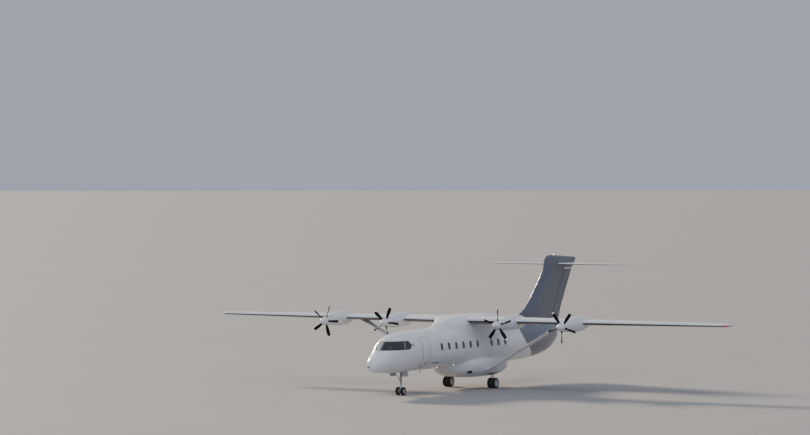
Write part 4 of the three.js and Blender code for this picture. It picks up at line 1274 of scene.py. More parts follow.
def build_doors():
    for name, sign, front, back, bottom, top in DOORS:
        skin = fuselage_side(sign)
        corners = ((front, bottom), (back, bottom), (back, top), (front, top))
        outline = rounded(corners, DOOR_CORNER, step=0.06)
        panel = plate(Shape(), skin, outline, 0.004, rings=10)
        piece(f"{name}_panel", panel, ["fuselage paint"], (name,))
        trim = band_on(Shape(), skin, outline, 0.02, 0.0055)
        for z in (bottom + 0.32, top - 0.36):
            hinge = [(front - 0.01, z + dz) for dz in (-0.05, 0, 0.05)]
            band_on(trim, skin, hinge, 0.05, 0.012, closed=False, finish=1)
        middle = (front + back) / 2
        recess = [(middle + behind, z) for behind, z in GRIP_RECESS]
        plate(trim, skin, rounded(recess, 0.02), 0.0062, rings=3)
        grip = [(middle + behind, z) for behind, z in GRIP]
        band_on(trim, skin, grip, 0.014, 0.014, closed=False, finish=1)
        sill = [(s, bottom - 0.035) for s in span(front + 0.04, back - 0.04, 8)]
        band_on(trim, skin, sill, 0.03, 0.01, closed=False, finish=1)
        piece(f"{name}_trim", trim, ["seal", "window frame"])


# Wing


def half_thickness(part, thickness):
    """Half the depth of a symmetric section at a share of its chord, in chords."""
    part = min(max(part, 0), 1)
    series = 0.2969 * math.sqrt(part) - 0.126 * part - 0.3516 * part**2 + 0.2843 * part**3 - 0.1015 * part**4
    return 5 * thickness * series


def planform(plan, tip_x):
    """A function from x to a surface's leading station, chord and thickness."""

    def at(x):
        front, back, thickness = [between(a, b, abs(x) / tip_x) for a, b in zip(*plan)]
        return front, back - front, thickness

    return at


wing_at = planform(WING_PLAN, WING_TIP_X)
tailplane_at = planform(TAILPLANE_PLAN, TAILPLANE_TIP_X)


def aerofoil(surface, x, z, stop=None, scale=1.0):
    """Points round a section from its back over the top to its nose and back below."""
    front, chord, thickness = surface(x)
    start = front + chord * (1 - scale) / 2
    length = chord * scale
    last = 1 if stop is None else (stop - start) / length
    parts = [last * (1 - i / FOIL_STEPS) ** 2 for i in range(FOIL_STEPS + 1)]
    upper = []
    for part in parts:
        half = half_thickness(part, thickness * scale) * length
        upper.append((at_station(start + part * length), half))
    lower = [Vector((x, y, z - half)) for y, half in upper[-2::-1]]
    return [Vector((x, y, z + half)) for y, half in upper] + lower


def hinge_radius(surface, x, hinge):
    """Half the section's depth on a hinge line."""
    front, chord, thickness = surface(x)
    return half_thickness((hinge - front) / chord, thickness) * chord


def rounded_tip(surface, z, start, end):
    """Sections that round a tip off."""
    rings = []
    for i in range(1, TIP_STEPS + 1):
        angle = math.pi / 2 * i / TIP_STEPS
        scale = 1 - (1 - TIP_SCALE) * (1 - math.cos(angle)) ** 1.4
        rings.append(aerofoil(surface, between(start, end, math.sin(angle)), z, None, scale))
    return rings


def trailing_outline(stations, half, hinge, nose):
    """Stations and offsets round a trailing surface whose round nose lies on its hinge."""
    upper = list(zip(stations, half))
    arc = [math.radians(90 + 180 * i / 16) for i in range(17)]
    around = [(hinge + nose * math.cos(turn), nose * math.sin(turn)) for turn in arc]
    return upper + around + [(s, -h) for s, h in reversed(upper)]


def fixed_surface(surface, hinge, z, root, tip_start, tip, openings):
    """A wing or tailplane half with its back cut away in front of the moving surfaces."""
    edges = [root]
    for inner, outer in openings:
        edges += [inner - MOVE_GAP, outer + MOVE_GAP]
    edges.append(tip_start)
    shape = Shape()
    for i, ends in enumerate(zip(edges, edges[1:])):
        is_cut = i % 2 == 1
        rings = []
        for x in ends:
            stop = hinge - hinge_radius(surface, x, hinge) - MOVE_GAP if is_cut else None
            rings.append(aerofoil(surface, x, z, stop))
        if i == len(edges) - 2:
            rings += rounded_tip(surface, z, tip_start, tip)
        loft(shape, rings)
    return shape


def moving_surface(surface, hinge, z, inner, outer):
    """A trailing surface with a round nose on its hinge line."""
    rings = []
    for x in (inner, outer):
        front, chord, thickness = surface(x)
        stations = span(front + chord, hinge, 12)[:-1]
        half = [half_thickness((s - front) / chord, thickness) * chord for s in stations]
        outline = trailing_outline(stations, half, hinge, hinge_radius(surface, x, hinge))
        rings.append([Vector((x, at_station(s), z + up)) for s, up in outline])
    return loft(Shape(), rings)


def build_wings():
    openings = [(inner, outer) for _, inner, outer in WING_SURFACES]
    line = (wing_at, WING_HINGE, WING_Z)
    for side, sign in SIDES:
        skin = fixed_surface(*line, WING_ROOT_X, WING_TIP_START, WING_TIP_X, openings)
        piece(f"wing_skin_{side}", skin.mirror(sign), ["white paint with painted underside shade"], (f"wing_{side}",), 30)
        for name, inner, outer in WING_SURFACES:
            surface = moving_surface(*line, inner, outer).mirror(sign)
            node = f"{name}_{side}"
            piece(f"{node}_skin", surface, ["white paint with painted underside shade"], (node,), 30, body=node)


def build_wicks(name, edges, drop, wick, body):
    """Static wicks at points of a trailing edge, each dropping a little towards its end."""
    shape = Shape()
    for x, y, z in edges:
        rod(shape, (x, y - wick["ahead"], z), (x, y + wick["behind"], z - drop), wick["radius"], 8)
    piece(name, shape, ["hose"], body=body)


def build_wing_fittings():
    lens_profile = [(0, 0.035), (0.09, 0.04), (0.12, 0.032), (0.137, 0.014), (0.14, 0.002)]
    pad_profile = [(0, 0.044), (0.006, 0.05), (0.09, 0.05)]
    for side, sign in SIDES:
        lamp = Shape()
        front = wing_at(TIP_LAMP_X)[0]
        for dx in TIP_LENSES:
            x = sign * TIP_LAMP_X + dx
            start, end = at_station(front + 0.12), at_station(front - 0.02)
            turned(lamp, (x, start, WING_Z), (x, end, WING_Z), lens_profile, 20)
        piece(f"wing_tip_light_{side}", lamp, ["red lens" if sign > 0 else "green lens"])
        edges = [(sign * x, at_station(sum(wing_at(x)[:2])), WING_Z) for x in AILERON_WICKS]
        build_wicks(f"aileron_static_wicks_{side}", edges, 0.004, WICK, f"aileron_{side}")
        x, y = sign * JACK_PAD[0], at_station(JACK_PAD[1])
        pad = turned(Shape(), (x, y, 3.565), (x, y, 3.66), pad_profile, 28)
        piece(f"wing_jack_pad_{side}", pad, ["gear metal"])


def build_struts():
    slope = math.atan2(STRUT[-1][1] - STRUT[0][1], STRUT[-1][0] - STRUT[0][0])
    for side, sign in SIDES:
        rings = []
        for x in spans((1.56, 20), (2.8, 14), (5.6, 12), (STRUT[-1][0], 0)):
            z, station, chord, thickness = strut_at(x)
            ring = []
            for angle in turns(40):
                along = chord / 2 * math.cos(angle)
                off = thickness / 2 * math.sin(angle) * (1 - 0.35 * math.cos(angle))
                y = at_station(station) + along
                ring.append(Vector((x - off * math.sin(slope), y, z + off * math.cos(slope))))
            rings.append(ring)
        shape = loft(Shape(), rings).mirror(sign)
        piece(f"strut_skin_{side}", shape, ["cowling paint"], (f"strut_{side}",))


# Engines and propellers


def nacelle_ring(station):
    """A cowling section about the aircraft's middle plane."""
    return body_ring(station, nacelle_at(station), NACELLE_ROUNDNESS, NACELLE_STEPS)


def nacelle_rings():
    """The cowling from inside its lip to its closed back."""
    rings = []
    for back, radius in COWLING_LIP:
        row = (ENGINE_Z - radius, ENGINE_Z, ENGINE_Z + radius, radius)
        rings.append(body_ring(NACELLE_FRONT + back, row, NACELLE_ROUNDNESS, NACELLE_STEPS))
    rings += [nacelle_ring(NACELLE_FRONT + NACELLE_LENGTH * (i / 44) ** 1.3) for i in range(3, 45)]
    return rings + closing_rings(rings[-1], NACELLE_CAP)


def cowling_ring(shape, station):
    """A seam round the cowling."""
    ring, next_ring = nacelle_ring(station), nacelle_ring(station + 0.01)
    heart = Vector((0, at_station(station), 3.7))
    spots = []
    for i, point in enumerate(ring):
        normal = (ring[(i + 1) % len(ring)] - ring[i - 1]).cross(next_ring[i] - point).normalized()
        spots.append((point, outward(normal, point, heart)))
    band(shape, spots, COWLING_SEAM_WIDTH, SEAM_RISE)


def side_line(shape, sign):
    """The split line along a cowling's side, with its latches."""
    spots = []
    for station in span(*SPLIT_ENDS, 30):
        _, widest, top, half = nacelle_at(station)
        share = abs(SPLIT_Z - widest) / (top - widest)
        x = half * (1 - share**NACELLE_ROUNDNESS) ** (1 / NACELLE_ROUNDNESS)
        spots.append((Vector((sign * x, at_station(station), SPLIT_Z)), Vector((sign, -0.1, 0)).normalized()))
    band(shape, spots, COWLING_SEAM_WIDTH, SEAM_RISE, closed=False)
    corners = ((-0.03, -0.012), (0.03, -0.012), (0.03, 0.012), (-0.03, 0.012))
    for at in (5, 12, 19):
        point = spots[at][0]
        slab(shape, [point + Vector((0, dy, dz)) for dy, dz in corners], (sign * 0.004, 0, 0))


def build_nacelles():
    for place, x in ENGINE_X.items():
        for side, sign in SIDES:
            name = f"{place}_{side}"
            shape = loft(Shape(), nacelle_rings()).moved((sign * x, 0, 0))
            piece(f"nacelle_skin_{name}", shape, ["cowling paint"], (f"nacelle_{name}",))
            lines = Shape()
            for station in COWLING_SEAMS:
                cowling_ring(lines, station)
            for way in (1, -1):
                side_line(lines, way)
            lines.moved((sign * x, 0, 0))
            piece(f"cowling_seams_{name}", lines, ["seam"])


def blade_ring(radius, angle, hand, cut=1.0):
    """A blade's section at a radius. Cut below 1 narrows it towards the rounded end."""
    chord, thickness, pitch = blade_at(radius)
    tilt = math.radians(pitch) * hand
    turn = math.radians(angle)
    flat = smoothstep((radius - 0.25) / 0.12)
    ring = []
    for around in turns(26):
        along = chord * cut / 2 * math.cos(around)
        off = thickness * cut / 2 * math.sin(around) * (1 - 0.3 * flat * hand * math.cos(around))
        y = along * math.sin(tilt) + off * math.cos(tilt)
        up = along * math.cos(tilt) - off * math.sin(tilt)
        x = radius * math.cos(turn) - up * math.sin(turn)
        ring.append(Vector((x, y, radius * math.sin(turn) + up * math.cos(turn))))
    return ring


def one_blade(shape, angle, hand):
    """A blade with a pale end, and the cuff that holds it."""
    tip_start = BLADE_REACH - sizes().blade_tip
    radii = spans((BLADE[0][0], 12), (0.36, 16), (tip_start, 5), (BLADE_ROUND, 0))
    rings = [blade_ring(radius, angle, hand) for radius in radii]
    for t in (0.5, 0.9, 1.2, 1.45):
        rings.append(blade_ring(BLADE_ROUND + 0.02 * math.sin(t), angle, hand, math.cos(t) * 0.9 + 0.1))
    finishes = [int(radius >= tip_start - 1e-6) for radius in radii]
    finishes += [1] * (len(rings) - 1 - len(radii))
    loft(shape, rings, finishes=finishes)
    turn = math.radians(angle)
    out = Vector((math.cos(turn), 0, math.sin(turn)))
    turned(shape, out * 0.205, out * 0.262, CUFF, 24, 2)


def spinner_cone(hub):
    """The spinner with its rolled back edge, and the seam in front of the blades."""
    reach = [SPINNER_SKIN * (i / 26) ** 2 for i in range(27)]
    profile = [(t, spinner_radius(math.sqrt(t))) for t in reach]
    tip = hub - Vector((0, SPINNER_LENGTH, 0))
    cone = turned(Shape(), tip, tip + Vector((0, 1, 0)), profile + SPINNER_BACK, 72)
    seam = [(0, 0.2295), (0.0, 0.2325), (0.006, 0.2335), (0.006, 0.2305)]
    return turned(cone, hub - Vector((0, 0.075, 0)), hub, seam, 72, 1)


def build_propellers():
    for (place, side), first in FIRST_BLADE.items():
        sign = 1 if side == "port" else -1
        name = f"{place}_{side}"
        hub = Vector((ENGINE_X[place], at_station(PROPELLER_STATION), ENGINE_Z))
        body = f"propeller_{name}"
        blades = Shape()
        for number in range(BLADES):
            one_blade(blades, first + 360 / BLADES * number, HAND[place])
        blades.moved(hub).mirror(sign)
        names = ["blade black", "tip white", "dark steel"]
        piece(f"propeller_blades_{name}", blades, names, (f"blades_{name}",), body=body)
        cone = spinner_cone(hub).mirror(sign)
        names = ["cowling paint", "seam"]
        piece(f"spinner_cone_{name}", cone, names, (f"spinner_{name}",), body=body)
        dress_node(f"motor_{name}", "motor metal")


# Tail


def fin_half(z, station, front, back):
    """Half the fin's thickness at a height and station."""
    chord = min(back - front, FIN_CHORD)
    part = max(0, 1 - (back - station) / chord)
    thin = 0.03 * math.sqrt(min(1, max(station - front, 0) / 0.2))
    foil = half_thickness(part, FIN_THICKNESS) * chord
    return (thin**4 + foil**4) ** 0.25


def fin_ring(z, stop=None, fall=0.0, flat=1.0):
    """A section across the fin, up to a station, falling towards the back and flattened near the top."""
    front, back = fin_at(z)
    last = 1 if stop is None else (stop - front) / (back - front)
    points = []
    for i in range(FIN_STEPS + 1):
        part = last * (1 - i / FIN_STEPS) ** 1.8
        station = front + part * (back - front)
        half = max(fin_half(z, station, front, back), 0.003) * flat if part > 0 else 0
        points.append((half, at_station(station), z - fall * (station - front)))
    return [Vector(p) for p in points] + [Vector((-x, y, height)) for x, y, height in points[-2::-1]]


def rudder_hinge(z):
    """The station of the rudder's hinge at a height."""
    part = (z - RUDDER_FOOT[1]) / (RUDDER_HEAD[1] - RUDDER_FOOT[1])
    return between(RUDDER_FOOT[0], RUDDER_HEAD[0], part)


def rudder_nose(z):
    """The radius of the rudder's round nose at a height."""
    return fin_half(z, rudder_hinge(z), *fin_at(z))


def build_fin():
    low, high = RUDDER_FOOT[1] - RUDDER_GAP, RUDDER_HEAD[1] + RUDDER_GAP
    shape = loft(Shape(), [fin_ring(z) for z in span(FIN[0][0], low, 8)])
    rings = []
    for z in span(low, high, 40):
        nose = rudder_nose(min(z, RUDDER_HEAD[1]))
        rings.append(fin_ring(z, rudder_hinge(z) - nose * 1.2 - MOVE_GAP))
    loft(shape, rings)
    top = [fin_ring(high)]
    for z, flat in [(z, 1.0) for z in span(6.5, 7.06, 10)] + FIN_TOP:
        top.append(fin_ring(z, None, 0.06 * (z - 6) / 1.14, flat))
    loft(shape, top)
    piece("fin_skin", shape, ["slate paint"], ("fin",), 32)
    build_rudder()


def build_rudder():
    rings = []
    for z in span(RUDDER_FOOT[1], RUDDER_HEAD[1], 30):
        front, back = fin_at(z)
        stations = span(back, rudder_hinge(z), 12)[:-1]
        half = [max(fin_half(z, s, front, back), 0.005) for s in stations]
        outline = trailing_outline(stations, half, rudder_hinge(z), rudder_nose(z))
        rings.append([Vector((across, at_station(s), z)) for s, across in outline])
    piece("rudder_skin", loft(Shape(), rings), ["slate paint"], ("rudder",), 32, body="rudder")
    edges = [(0, at_station(fin_at(z)[1]), z) for z in RUDDER_WICKS]
    build_wicks("rudder_static_wicks", edges, 0.02, WICK, "rudder")


def build_tailplane():
    shape = Shape()
    line = (tailplane_at, TAILPLANE_HINGE, TAILPLANE_Z)
    for _, sign in SIDES:
        half = fixed_surface(*line, 0.0, TAILPLANE_TIP_START, TAILPLANE_TIP_X, [ELEVATOR]).mirror(sign)
        shape.add(half.points, half.faces)
    piece("tailplane_skin", shape, ["white paint with painted underside shade"], ("tailplane",), 30)
    for side, sign in SIDES:
        surface = moving_surface(*line, *ELEVATOR).mirror(sign)
        node = f"elevator_{side}"
        piece(f"{node}_skin", surface, ["white paint with painted underside shade"], (node,), 30, body=node)
        edges = [(sign * x, at_station(sum(tailplane_at(x)[:2])), TAILPLANE_Z) for x in ELEVATOR_WICKS]
        build_wicks(f"elevator_static_wicks_{side}", edges, 0, SMALL_WICK, node)


# Landing gear


def tyre_profile(gear):
    """Half section of a tyre with tread grooves. Columns: distance across, radius."""
    half, rim, radius = gear["width"] / 2, gear["rim"], gear["tyre"]
    wall = radius - rim
    across = monotone([up for up, _ in TYRE_WALL], [share for _, share in TYRE_WALL])
    points = [(half * across(up), rim + 0.0003 + wall * up) for up in span(0, 0.62, 8)[:-1]]
    for i in range(11):
        angle = math.pi / 2 * i / 10
        points.append((half * (0.5 + 0.5 * math.cos(angle)), rim + wall * (0.62 + 0.38 * math.sin(angle))))
    depth = sizes().tread_depth * gear["width"] / MAIN_GEAR["width"]
    groove = half * 0.035
    for middle in (half * 0.36, half * 0.12):
        points += [(middle + groove, radius), (middle + groove * 0.7, radius - depth)]
        points += [(middle - groove * 0.7, radius - depth), (middle - groove, radius)]
    return points


def about_x(along, radius, turn):
    """A step along x and then out by a radius, at a turn about that axis."""
    return Vector((along, radius * math.cos(turn), radius * math.sin(turn)))


def lathe_about_x(shape, centre, profile, sides=72, close=False):
    """A turned form about an axis along x. Profile columns: distance along it, radius."""
    middle = Vector(centre)
    rings = []
    for along, radius in profile:
        rings.append([middle + about_x(along, radius, turn) for turn in turns(sides)])
    if close:
        rings.append(rings[0])
    return loft(shape, rings, ends=not close)


def build_tyres():
    for side, sign in SIDES:
        centre = (sign * NOSE_GEAR["offset"], at_station(NOSE_GEAR["station"]), NOSE_GEAR["tyre"])
        one_tyre(f"nose_tyre_{side}", NOSE_GEAR, centre, "nose_wheels")
        for place, shift in (("inner", -1), ("outer", 1)):
            x = sign * (MAIN_X + shift * MAIN_GEAR["offset"])
            centre = (x, at_station(MAIN_GEAR["station"]), MAIN_GEAR["tyre"])
            one_tyre(f"main_tyre_{place}_{side}", MAIN_GEAR, centre, f"main_wheels_{side}")


def one_tyre(node, gear, centre, body):
    """The skin of one tyre."""
    half = tyre_profile(gear)
    whole = half + [(-along, radius) for along, radius in reversed(half)]
    shape = lathe_about_x(Shape(), centre, whole, 80, close=True)
    piece(f"{node}_rubber", shape, ["tyre"], (node,), 40, body=body)


def build_wheels():
    one_axle("nose_wheels", NOSE_GEAR, 0)
    for side, sign in SIDES:
        one_axle(f"main_wheels_{side}", MAIN_GEAR, sign * MAIN_X)


def rim_profile(gear):
    """Half section of one rim, from its inner edge round its face. Columns: distance from the leg, radius."""
    half, rim = gear["width"] / 2, gear["rim"]
    inner, outer = gear["offset"] - half * RIM_SHARE, gear["offset"] + half * RIM_SHARE
    edge = [(inner, gear["axle"]), (inner, rim * 0.97), (inner + 0.004, rim), (inner + 0.014, rim * 0.985)]
    edge += [(outer - 0.014, rim * 0.985), (outer - 0.004, rim), (outer, rim * 0.985), (outer, rim * 0.93)]
    edge += [(outer - 0.004, rim * 0.9)]
    dish = [(outer - half * deep, rim * share) for deep, share in RIM_DISH]
    cap = [(outer - deep, rim * share) for deep, share in RIM_CAP]
    return edge + dish + cap + [(outer, 0.0005)]


def one_axle(node, gear, x):
    """Two rims on an axle, each with a dished face, lightening holes, bolts and a hub cap."""
    half, rim, axle, offset = gear["width"] / 2, gear["rim"], gear["axle"], gear["offset"]
    inner, outer = offset - half * RIM_SHARE, offset + half * RIM_SHARE
    centre = Vector((x, at_station(gear["station"]), gear["tyre"]))
    face = outer - half * FACE_DEPTH
    hole = rim * 0.085
    lip = [(out, hole * share) for out, share in HOLE_LIP]
    # Dark discs in the holes, painted as the shade inside them.
    dark = [(0.0, hole * 0.6), (0.0078, hole * 0.95)]
    shape = Shape()
    for way in (1, -1):
        lathe_about_x(shape, centre, [(way * along, radius) for along, radius in rim_profile(gear)])
        ahead = Vector((way, 0, 0))
        for turn in turns(RIM_HOLES):
            spot = centre + about_x(way * (face - 0.006), rim * 0.63, turn)
            turned(shape, spot, spot + ahead, lip, 20)
            turned(shape, spot, spot + ahead, dark, 20, 1)
            spot = centre + about_x(way * face, rim * 0.5, turn + math.pi / RIM_HOLES)
            rod(shape, spot, spot + Vector((way * 0.012, 0, 0)), rim * 0.045, 6, 2)
    reach = Vector((inner + 0.002, 0, 0))
    rod(shape, centre - reach, centre + reach, axle, 32, 2)
    names = ["wheel metal", "painted shade of openings", "chrome"]
    piece(f"{node}_rims", shape, names, (node,), 40, body=node)


def build_main_legs():
    y = at_station(MAIN_GEAR["station"])
    axle = MAIN_GEAR["tyre"]
    knee = (0.135, axle + 0.22)
    piston = [(0, 0.03), (0.05, 0.03), (0.06, 0.0255), (0.43, 0.0255)]
    eye = [(0, 0.05), (0.005, 0.056), (0.053, 0.056), (0.058, 0.05)]
    brace = [(0, 0.02), (0.02, 0.024), (0.33, 0.024), (0.335, 0.019), (0.66, 0.019)]
    lug = ((0, 0.03), (-0.075, 0.05), (-0.06, 0.13), (0, 0.12))
    hose = ((1.0, 0.052, 1.0), (1.0, 0.06, 0.78), (1.5, 0.075, 0.56), (1.4, 0.045, axle + 0.08))
    names = ["gear metal", "chrome", "hose"]
    x = MAIN_X
    for side, sign in SIDES:
        shape = turned(Shape(), (x, y, 0.735), (x, y, 1.12), MAIN_SLEEVE, 36)
        turned(shape, (x, y, axle + 0.02), (x, y, 0.74), piston, 32, 1)
        turned(shape, (x - 0.029, y, axle), (x + 0.029, y, axle), eye, 36)
        turned(shape, (x, y - 0.04, 0.39), (x, y - 0.33, 1.0), brace, 24)
        slab(shape, [(x - 0.022, y + back, axle + up) for back, up in lug], (0.044, 0, 0))
        for low, high in (((0.08, axle + 0.06), knee), (knee, (0.05, 0.74))):
            link(shape, x, y, low, high, 0.022)
        rod(shape, (x - 0.03, y + knee[0], knee[1]), (x + 0.03, y + knee[0], knee[1]), 0.011, 14, 1)
        rod(shape, (x - 0.028, y + 0.02, axle + 0.055), (x + 0.028, y + 0.02, axle + 0.055), 0.02, 16)
        for shift in (-0.018, 0.018):
            tube(shape, [(x + shift * wide, y - ahead, z) for wide, ahead, z in hose], 0.006, 8, 2)
        node = f"main_leg_{side}"
        piece(f"main_leg_fittings_{side}", shape.mirror(sign), names, (node,), 40, bevel=0.0015)


def link(shape, x, y, low, high, half):
    """A torque link: a tapered plate between two pivots, each a distance behind the leg and a height."""
    (y0, z0), (y1, z1) = low, high
    along = Vector((0, y1 - y0, z1 - z0)).normalized()
    up = Vector((0, -along.z, along.y)) * 0.014
    start, end = Vector((x, y + y0, z0)), Vector((x, y + y1, z1))
    wide, slim = Vector((half, 0, 0)), Vector((half * 0.6, 0, 0))
    outline = [start - wide, start + wide, end + slim, end - slim]
    slab(shape, [p - up * 0.5 for p in outline], up)


def build_nose_leg():
    y = at_station(NOSE_GEAR["station"])
    shape = turned(Shape(), (0, y, 0.56), (0, y, 1.47), NOSE_SLEEVE, 36)
    arm = [(0, 0.014), (0.03, 0.021), (0.59, 0.021), (0.6, 0.025), (0.645, 0.025)]
    eye = [(0, 0.034), (0.005, 0.038), (0.059, 0.038)]
    hose = ((0.03, 0.05, 1.3), (0.045, 0.056, 1.0), (0.04, 0.06, 0.78), (0.03, 0.056, 0.64))
    low, high, ahead = 0.79, 1.33, y - 0.23
    for sign in (1, -1):
        turned(shape, (sign * 0.03, y - 0.02, low), (sign * 0.318, ahead, high), arm, 22)
        rod(shape, (sign * 0.045, y - 0.045, low), (sign * 0.085, y - 0.045, low), 0.02, 16, 1)
        turned(shape, (sign * 0.29, ahead, high), (sign * 0.349, ahead, high), eye, 24)
        tube(shape, [(sign * x, y + back, z) for x, back, z in hose], 0.0055, 8, 2)
    rod(shape, (-0.349, ahead, high), (0.349, ahead, high), 0.03, 28)
    rod(shape, (-0.09, y - 0.062, 0.875), (0.09, y - 0.062, 0.875), 0.022, 18)
    names = ["gear metal", "chrome", "hose"]
    piece("nose_leg_fittings", shape, names, ("nose_leg",), 40)
    build_taxi_lamp(Vector((0, y - 0.065, 1.0)))
    build_nose_fork(y)
    for side, _ in SIDES:
        # The bay doors get the darkened white, painted shade.
        dress_node(f"nose_bay_door_{side}", "door paint with painted shade")


def build_taxi_lamp(spot):
    """The lamp on the nose leg, facing ahead."""
    ahead = spot + Vector((0, -1, 0))
    shell = [(0, 0.02), (0.01, 0.045), (0.05, 0.06), (0.062, 0.06), (0.062, 0.053)]
    cover = [(0.05, 0.052), (0.058, 0.05), (0.064, 0.03), (0.066, 0.004)]
    lamp = turned(Shape(), spot, ahead, shell, 32)
    turned(lamp, spot, ahead, cover, 32, 1)
    piece("taxi_lamp", lamp, ["gear metal", "clear lens"])


def build_nose_fork(y):
    """The nose leg's piston with its axle eye, collar and torque link, at the leg's y."""
    piston = [(0, 0.042), (0.05, 0.042), (0.06, 0.0365), (0.46, 0.0365)]
    eye = [(0, 0.038), (0.005, 0.044), (0.115, 0.044), (0.12, 0.038)]
    collar = [(0, 0.045), (0.006, 0.05), (0.034, 0.05), (0.04, 0.045)]
    knee = (0.085, 0.41)
    fork = turned(Shape(), (0, y, 0.24), (0, y, 0.7), piston, 32, 1)
    turned(fork, (-0.06, y, 0.22), (0.06, y, 0.22), eye, 32)
    link(fork, 0, y, (0.035, 0.29), knee, 0.018)
    link(fork, 0, y, knee, (0.04, 0.52), 0.018)
    rod(fork, (-0.024, y + 0.085, 0.41), (0.024, y + 0.085, 0.41), 0.009, 14, 1)
    turned(fork, (0, y, 0.505), (0, y, 0.545), collar, 32)
    names = ["gear metal", "chrome"]
    piece("nose_fork_fittings", fork, names, ("nose_fork",), 40, body="nose_steering")


# Small fittings


def build_fittings():
    build_aerials()
    build_probes()
    build_marks()
    build_lamps()
    foot = Vector((0, at_station(2.3), 1.172))
    pad = turned(Shape(), foot, foot + Vector((0, 0, 1)), [(0, 0.044), (0.005, 0.05), (0.06, 0.05)], 28)
    piece("nose_jack_pad", pad, ["gear metal"])


def mast_ring(z, front, back, half):
    """A thin section across an aerial, from its front to its back."""
    ring = []
    for angle in turns(20):
        station = between(front, back, (1 - math.cos(angle)) / 2)
        ring.append(Vector((half * math.sin(angle), at_station(station), z)))
    return ring


def build_aerials():
    """The roof aerial with its bar, and the blade aerials."""
    shape = loft(Shape(), [mast_ring(*row) for row in ROOF_MAST])
    rod(shape, (0, at_station(5.16), 3.555), (0, at_station(4.99), 3.59), 0.013, 14)
    for station, z, height in BLADE_MASTS:
        foot = z - 0.02 * math.copysign(1, height)
        rings = []
        for part in span(0, 1, 5):
            front, back = station + 0.09 * part, station + 0.2 + 0.01 * part
            rings.append(mast_ring(foot + height * part, front, back, 0.011 * (1 - 0.55 * part)))
        loft(shape, rings)
    piece("antennas", shape, ["tip white"])


def build_probes():
    """Bent probes, ice detectors and static ports on both sides of the nose."""
    probes = Shape()
    for sign in (1, -1):
        skin = fuselage_side(sign)
        point, normal = skin.spot(3.04, 2.74)
        stud(probes, (point, normal), [(0, 0.03), (0.014, 0.028), (0.02, 0.02), (0.075, 0.012)], 20)
        elbow = point + normal * 0.07
        bends = [elbow + Vector(bend) for bend in ((0, 0, 0), (0, -0.05, -0.02), (0, -0.16, -0.06))]
        tube(probes, [point + normal * 0.03, *bends], 0.011, 12)
        plate(probes, skin, rounded(ICE_DETECTOR, 0.015), 0.003, rings=3)
        stud(probes, skin.spot(3.3, 1.95), [(0, 0.02), (0.014, 0.02), (0.016, 0.012), (0.02, 0.004)], 18)
    piece("air_data_probes", probes, ["hose"])


def build_marks():
    """Dark slots and vents in the skins."""
    marks = Shape()
    for sign in (1, -1):
        plate(marks, fuselage_side(sign), rounded(NOSE_DASH, 0.012), 0.003, rings=2)
        stud(marks, belly_side(sign).spot(10.31, 1.757), [(0, 0.04), (0.013, 0.04), (0.014, 0.002)], 20)
    plate(marks, nose_side(1, 0.2), rounded(NOSE_SLOT, 0.01), 0.006, rings=2)
    piece("slot_and_vent_shade", marks, ["painted shade of openings"])


def build_lamps():
    """Lamps low on the sides, at the tail's end and on top of the fin."""
    lamps = Shape()
    for sign in (1, -1):
        for station, z in SIDE_LAMPS:
            dome = [(0, 0.034), (0.012, 0.034), (0.02, 0.026), (0.026, 0.004)]
            stud(lamps, fuselage_side(sign).spot(station, z), dome, 22)
    tail = Vector((0, at_station(TAIL_END) + 0.045, 2.85))
    dome = [(0, 0.04), (0.015, 0.038), (0.03, 0.022), (0.035, 0.004)]
    turned(lamps, tail, tail + Vector((0, 1, 0)), dome, 22)
    piece("side_and_tail_lamps", lamps, ["bright lens"])
    foot = Vector((0, at_station(20.3), 7.09))
    dome = [(0, 0.045), (0.05, 0.045), (0.06, 0.04), (0.075, 0.024), (0.08, 0.004)]
    top = turned(Shape(), foot, foot + Vector((0, 0, 1)), dome, 26)
    piece("fin_top_lamp", top, ["bright lens"])


# Stage


def build_stage():
    scene = bpy.context.scene
    work = bmesh.new()
    bmesh.ops.create_circle(work, cap_ends=True, radius=sizes().floor_radius, segments=96)
    mesh = bpy.data.meshes.new("floor")
    work.to_mesh(mesh)
    work.free()
    mesh.materials.append(material("floor"))
    floor = bpy.data.objects.new("floor", mesh)
    floor.location.z = -0.001
    scene.collection.objects.link(floor)
    world = bpy.data.worlds.new("pale surround")
    world.use_nodes = True
    scene.world = world
    backdrop = world.node_tree.nodes["Background"]
    backdrop.inputs["Color"].default_value = SURROUND["colour"]
    backdrop.inputs["Strength"].default_value = SURROUND["strength"]
    for row in SUNS:
        sun(*row)
    data = bpy.data.cameras.new("camera")
    data.sensor_width = 36
    data.lens = CAMERA["lens"]
    data.clip_start = 1
    data.clip_end = 9000
    camera = bpy.data.objects.new("camera", data)
    camera.location = CAMERA["place"]
    tilt, heading = math.radians(90 - CAMERA["down"]), math.radians(CAMERA["heading"])
    camera.rotation_euler = (tilt, CAMERA["roll"], heading)
    scene.collection.objects.link(camera)
    scene.camera = camera


def sun(name, towards, strength, colour, angle):
    light = bpy.data.lights.new(name, "SUN")
    light.energy = strength
    light.color = colour
    light.angle = math.radians(angle)
    lamp = bpy.data.objects.new(name, light)
    lamp.rotation_mode = "QUATERNION"
    lamp.rotation_quaternion = Vector(towards).to_track_quat("Z", "Y")
    bpy.context.scene.collection.objects.link(lamp)


# Settings, operators and panel


def colour_setting(name, description, default):
    return bpy.props.FloatVectorProperty(
        name=name, description=description, subtype="COLOR", size=4, min=0, max=1, default=default
    )


def length_setting(name, description, default, low, high):
    return bpy.props.FloatProperty(
        name=name, description=description, default=default, min=low, max=high, unit="LENGTH"
    )


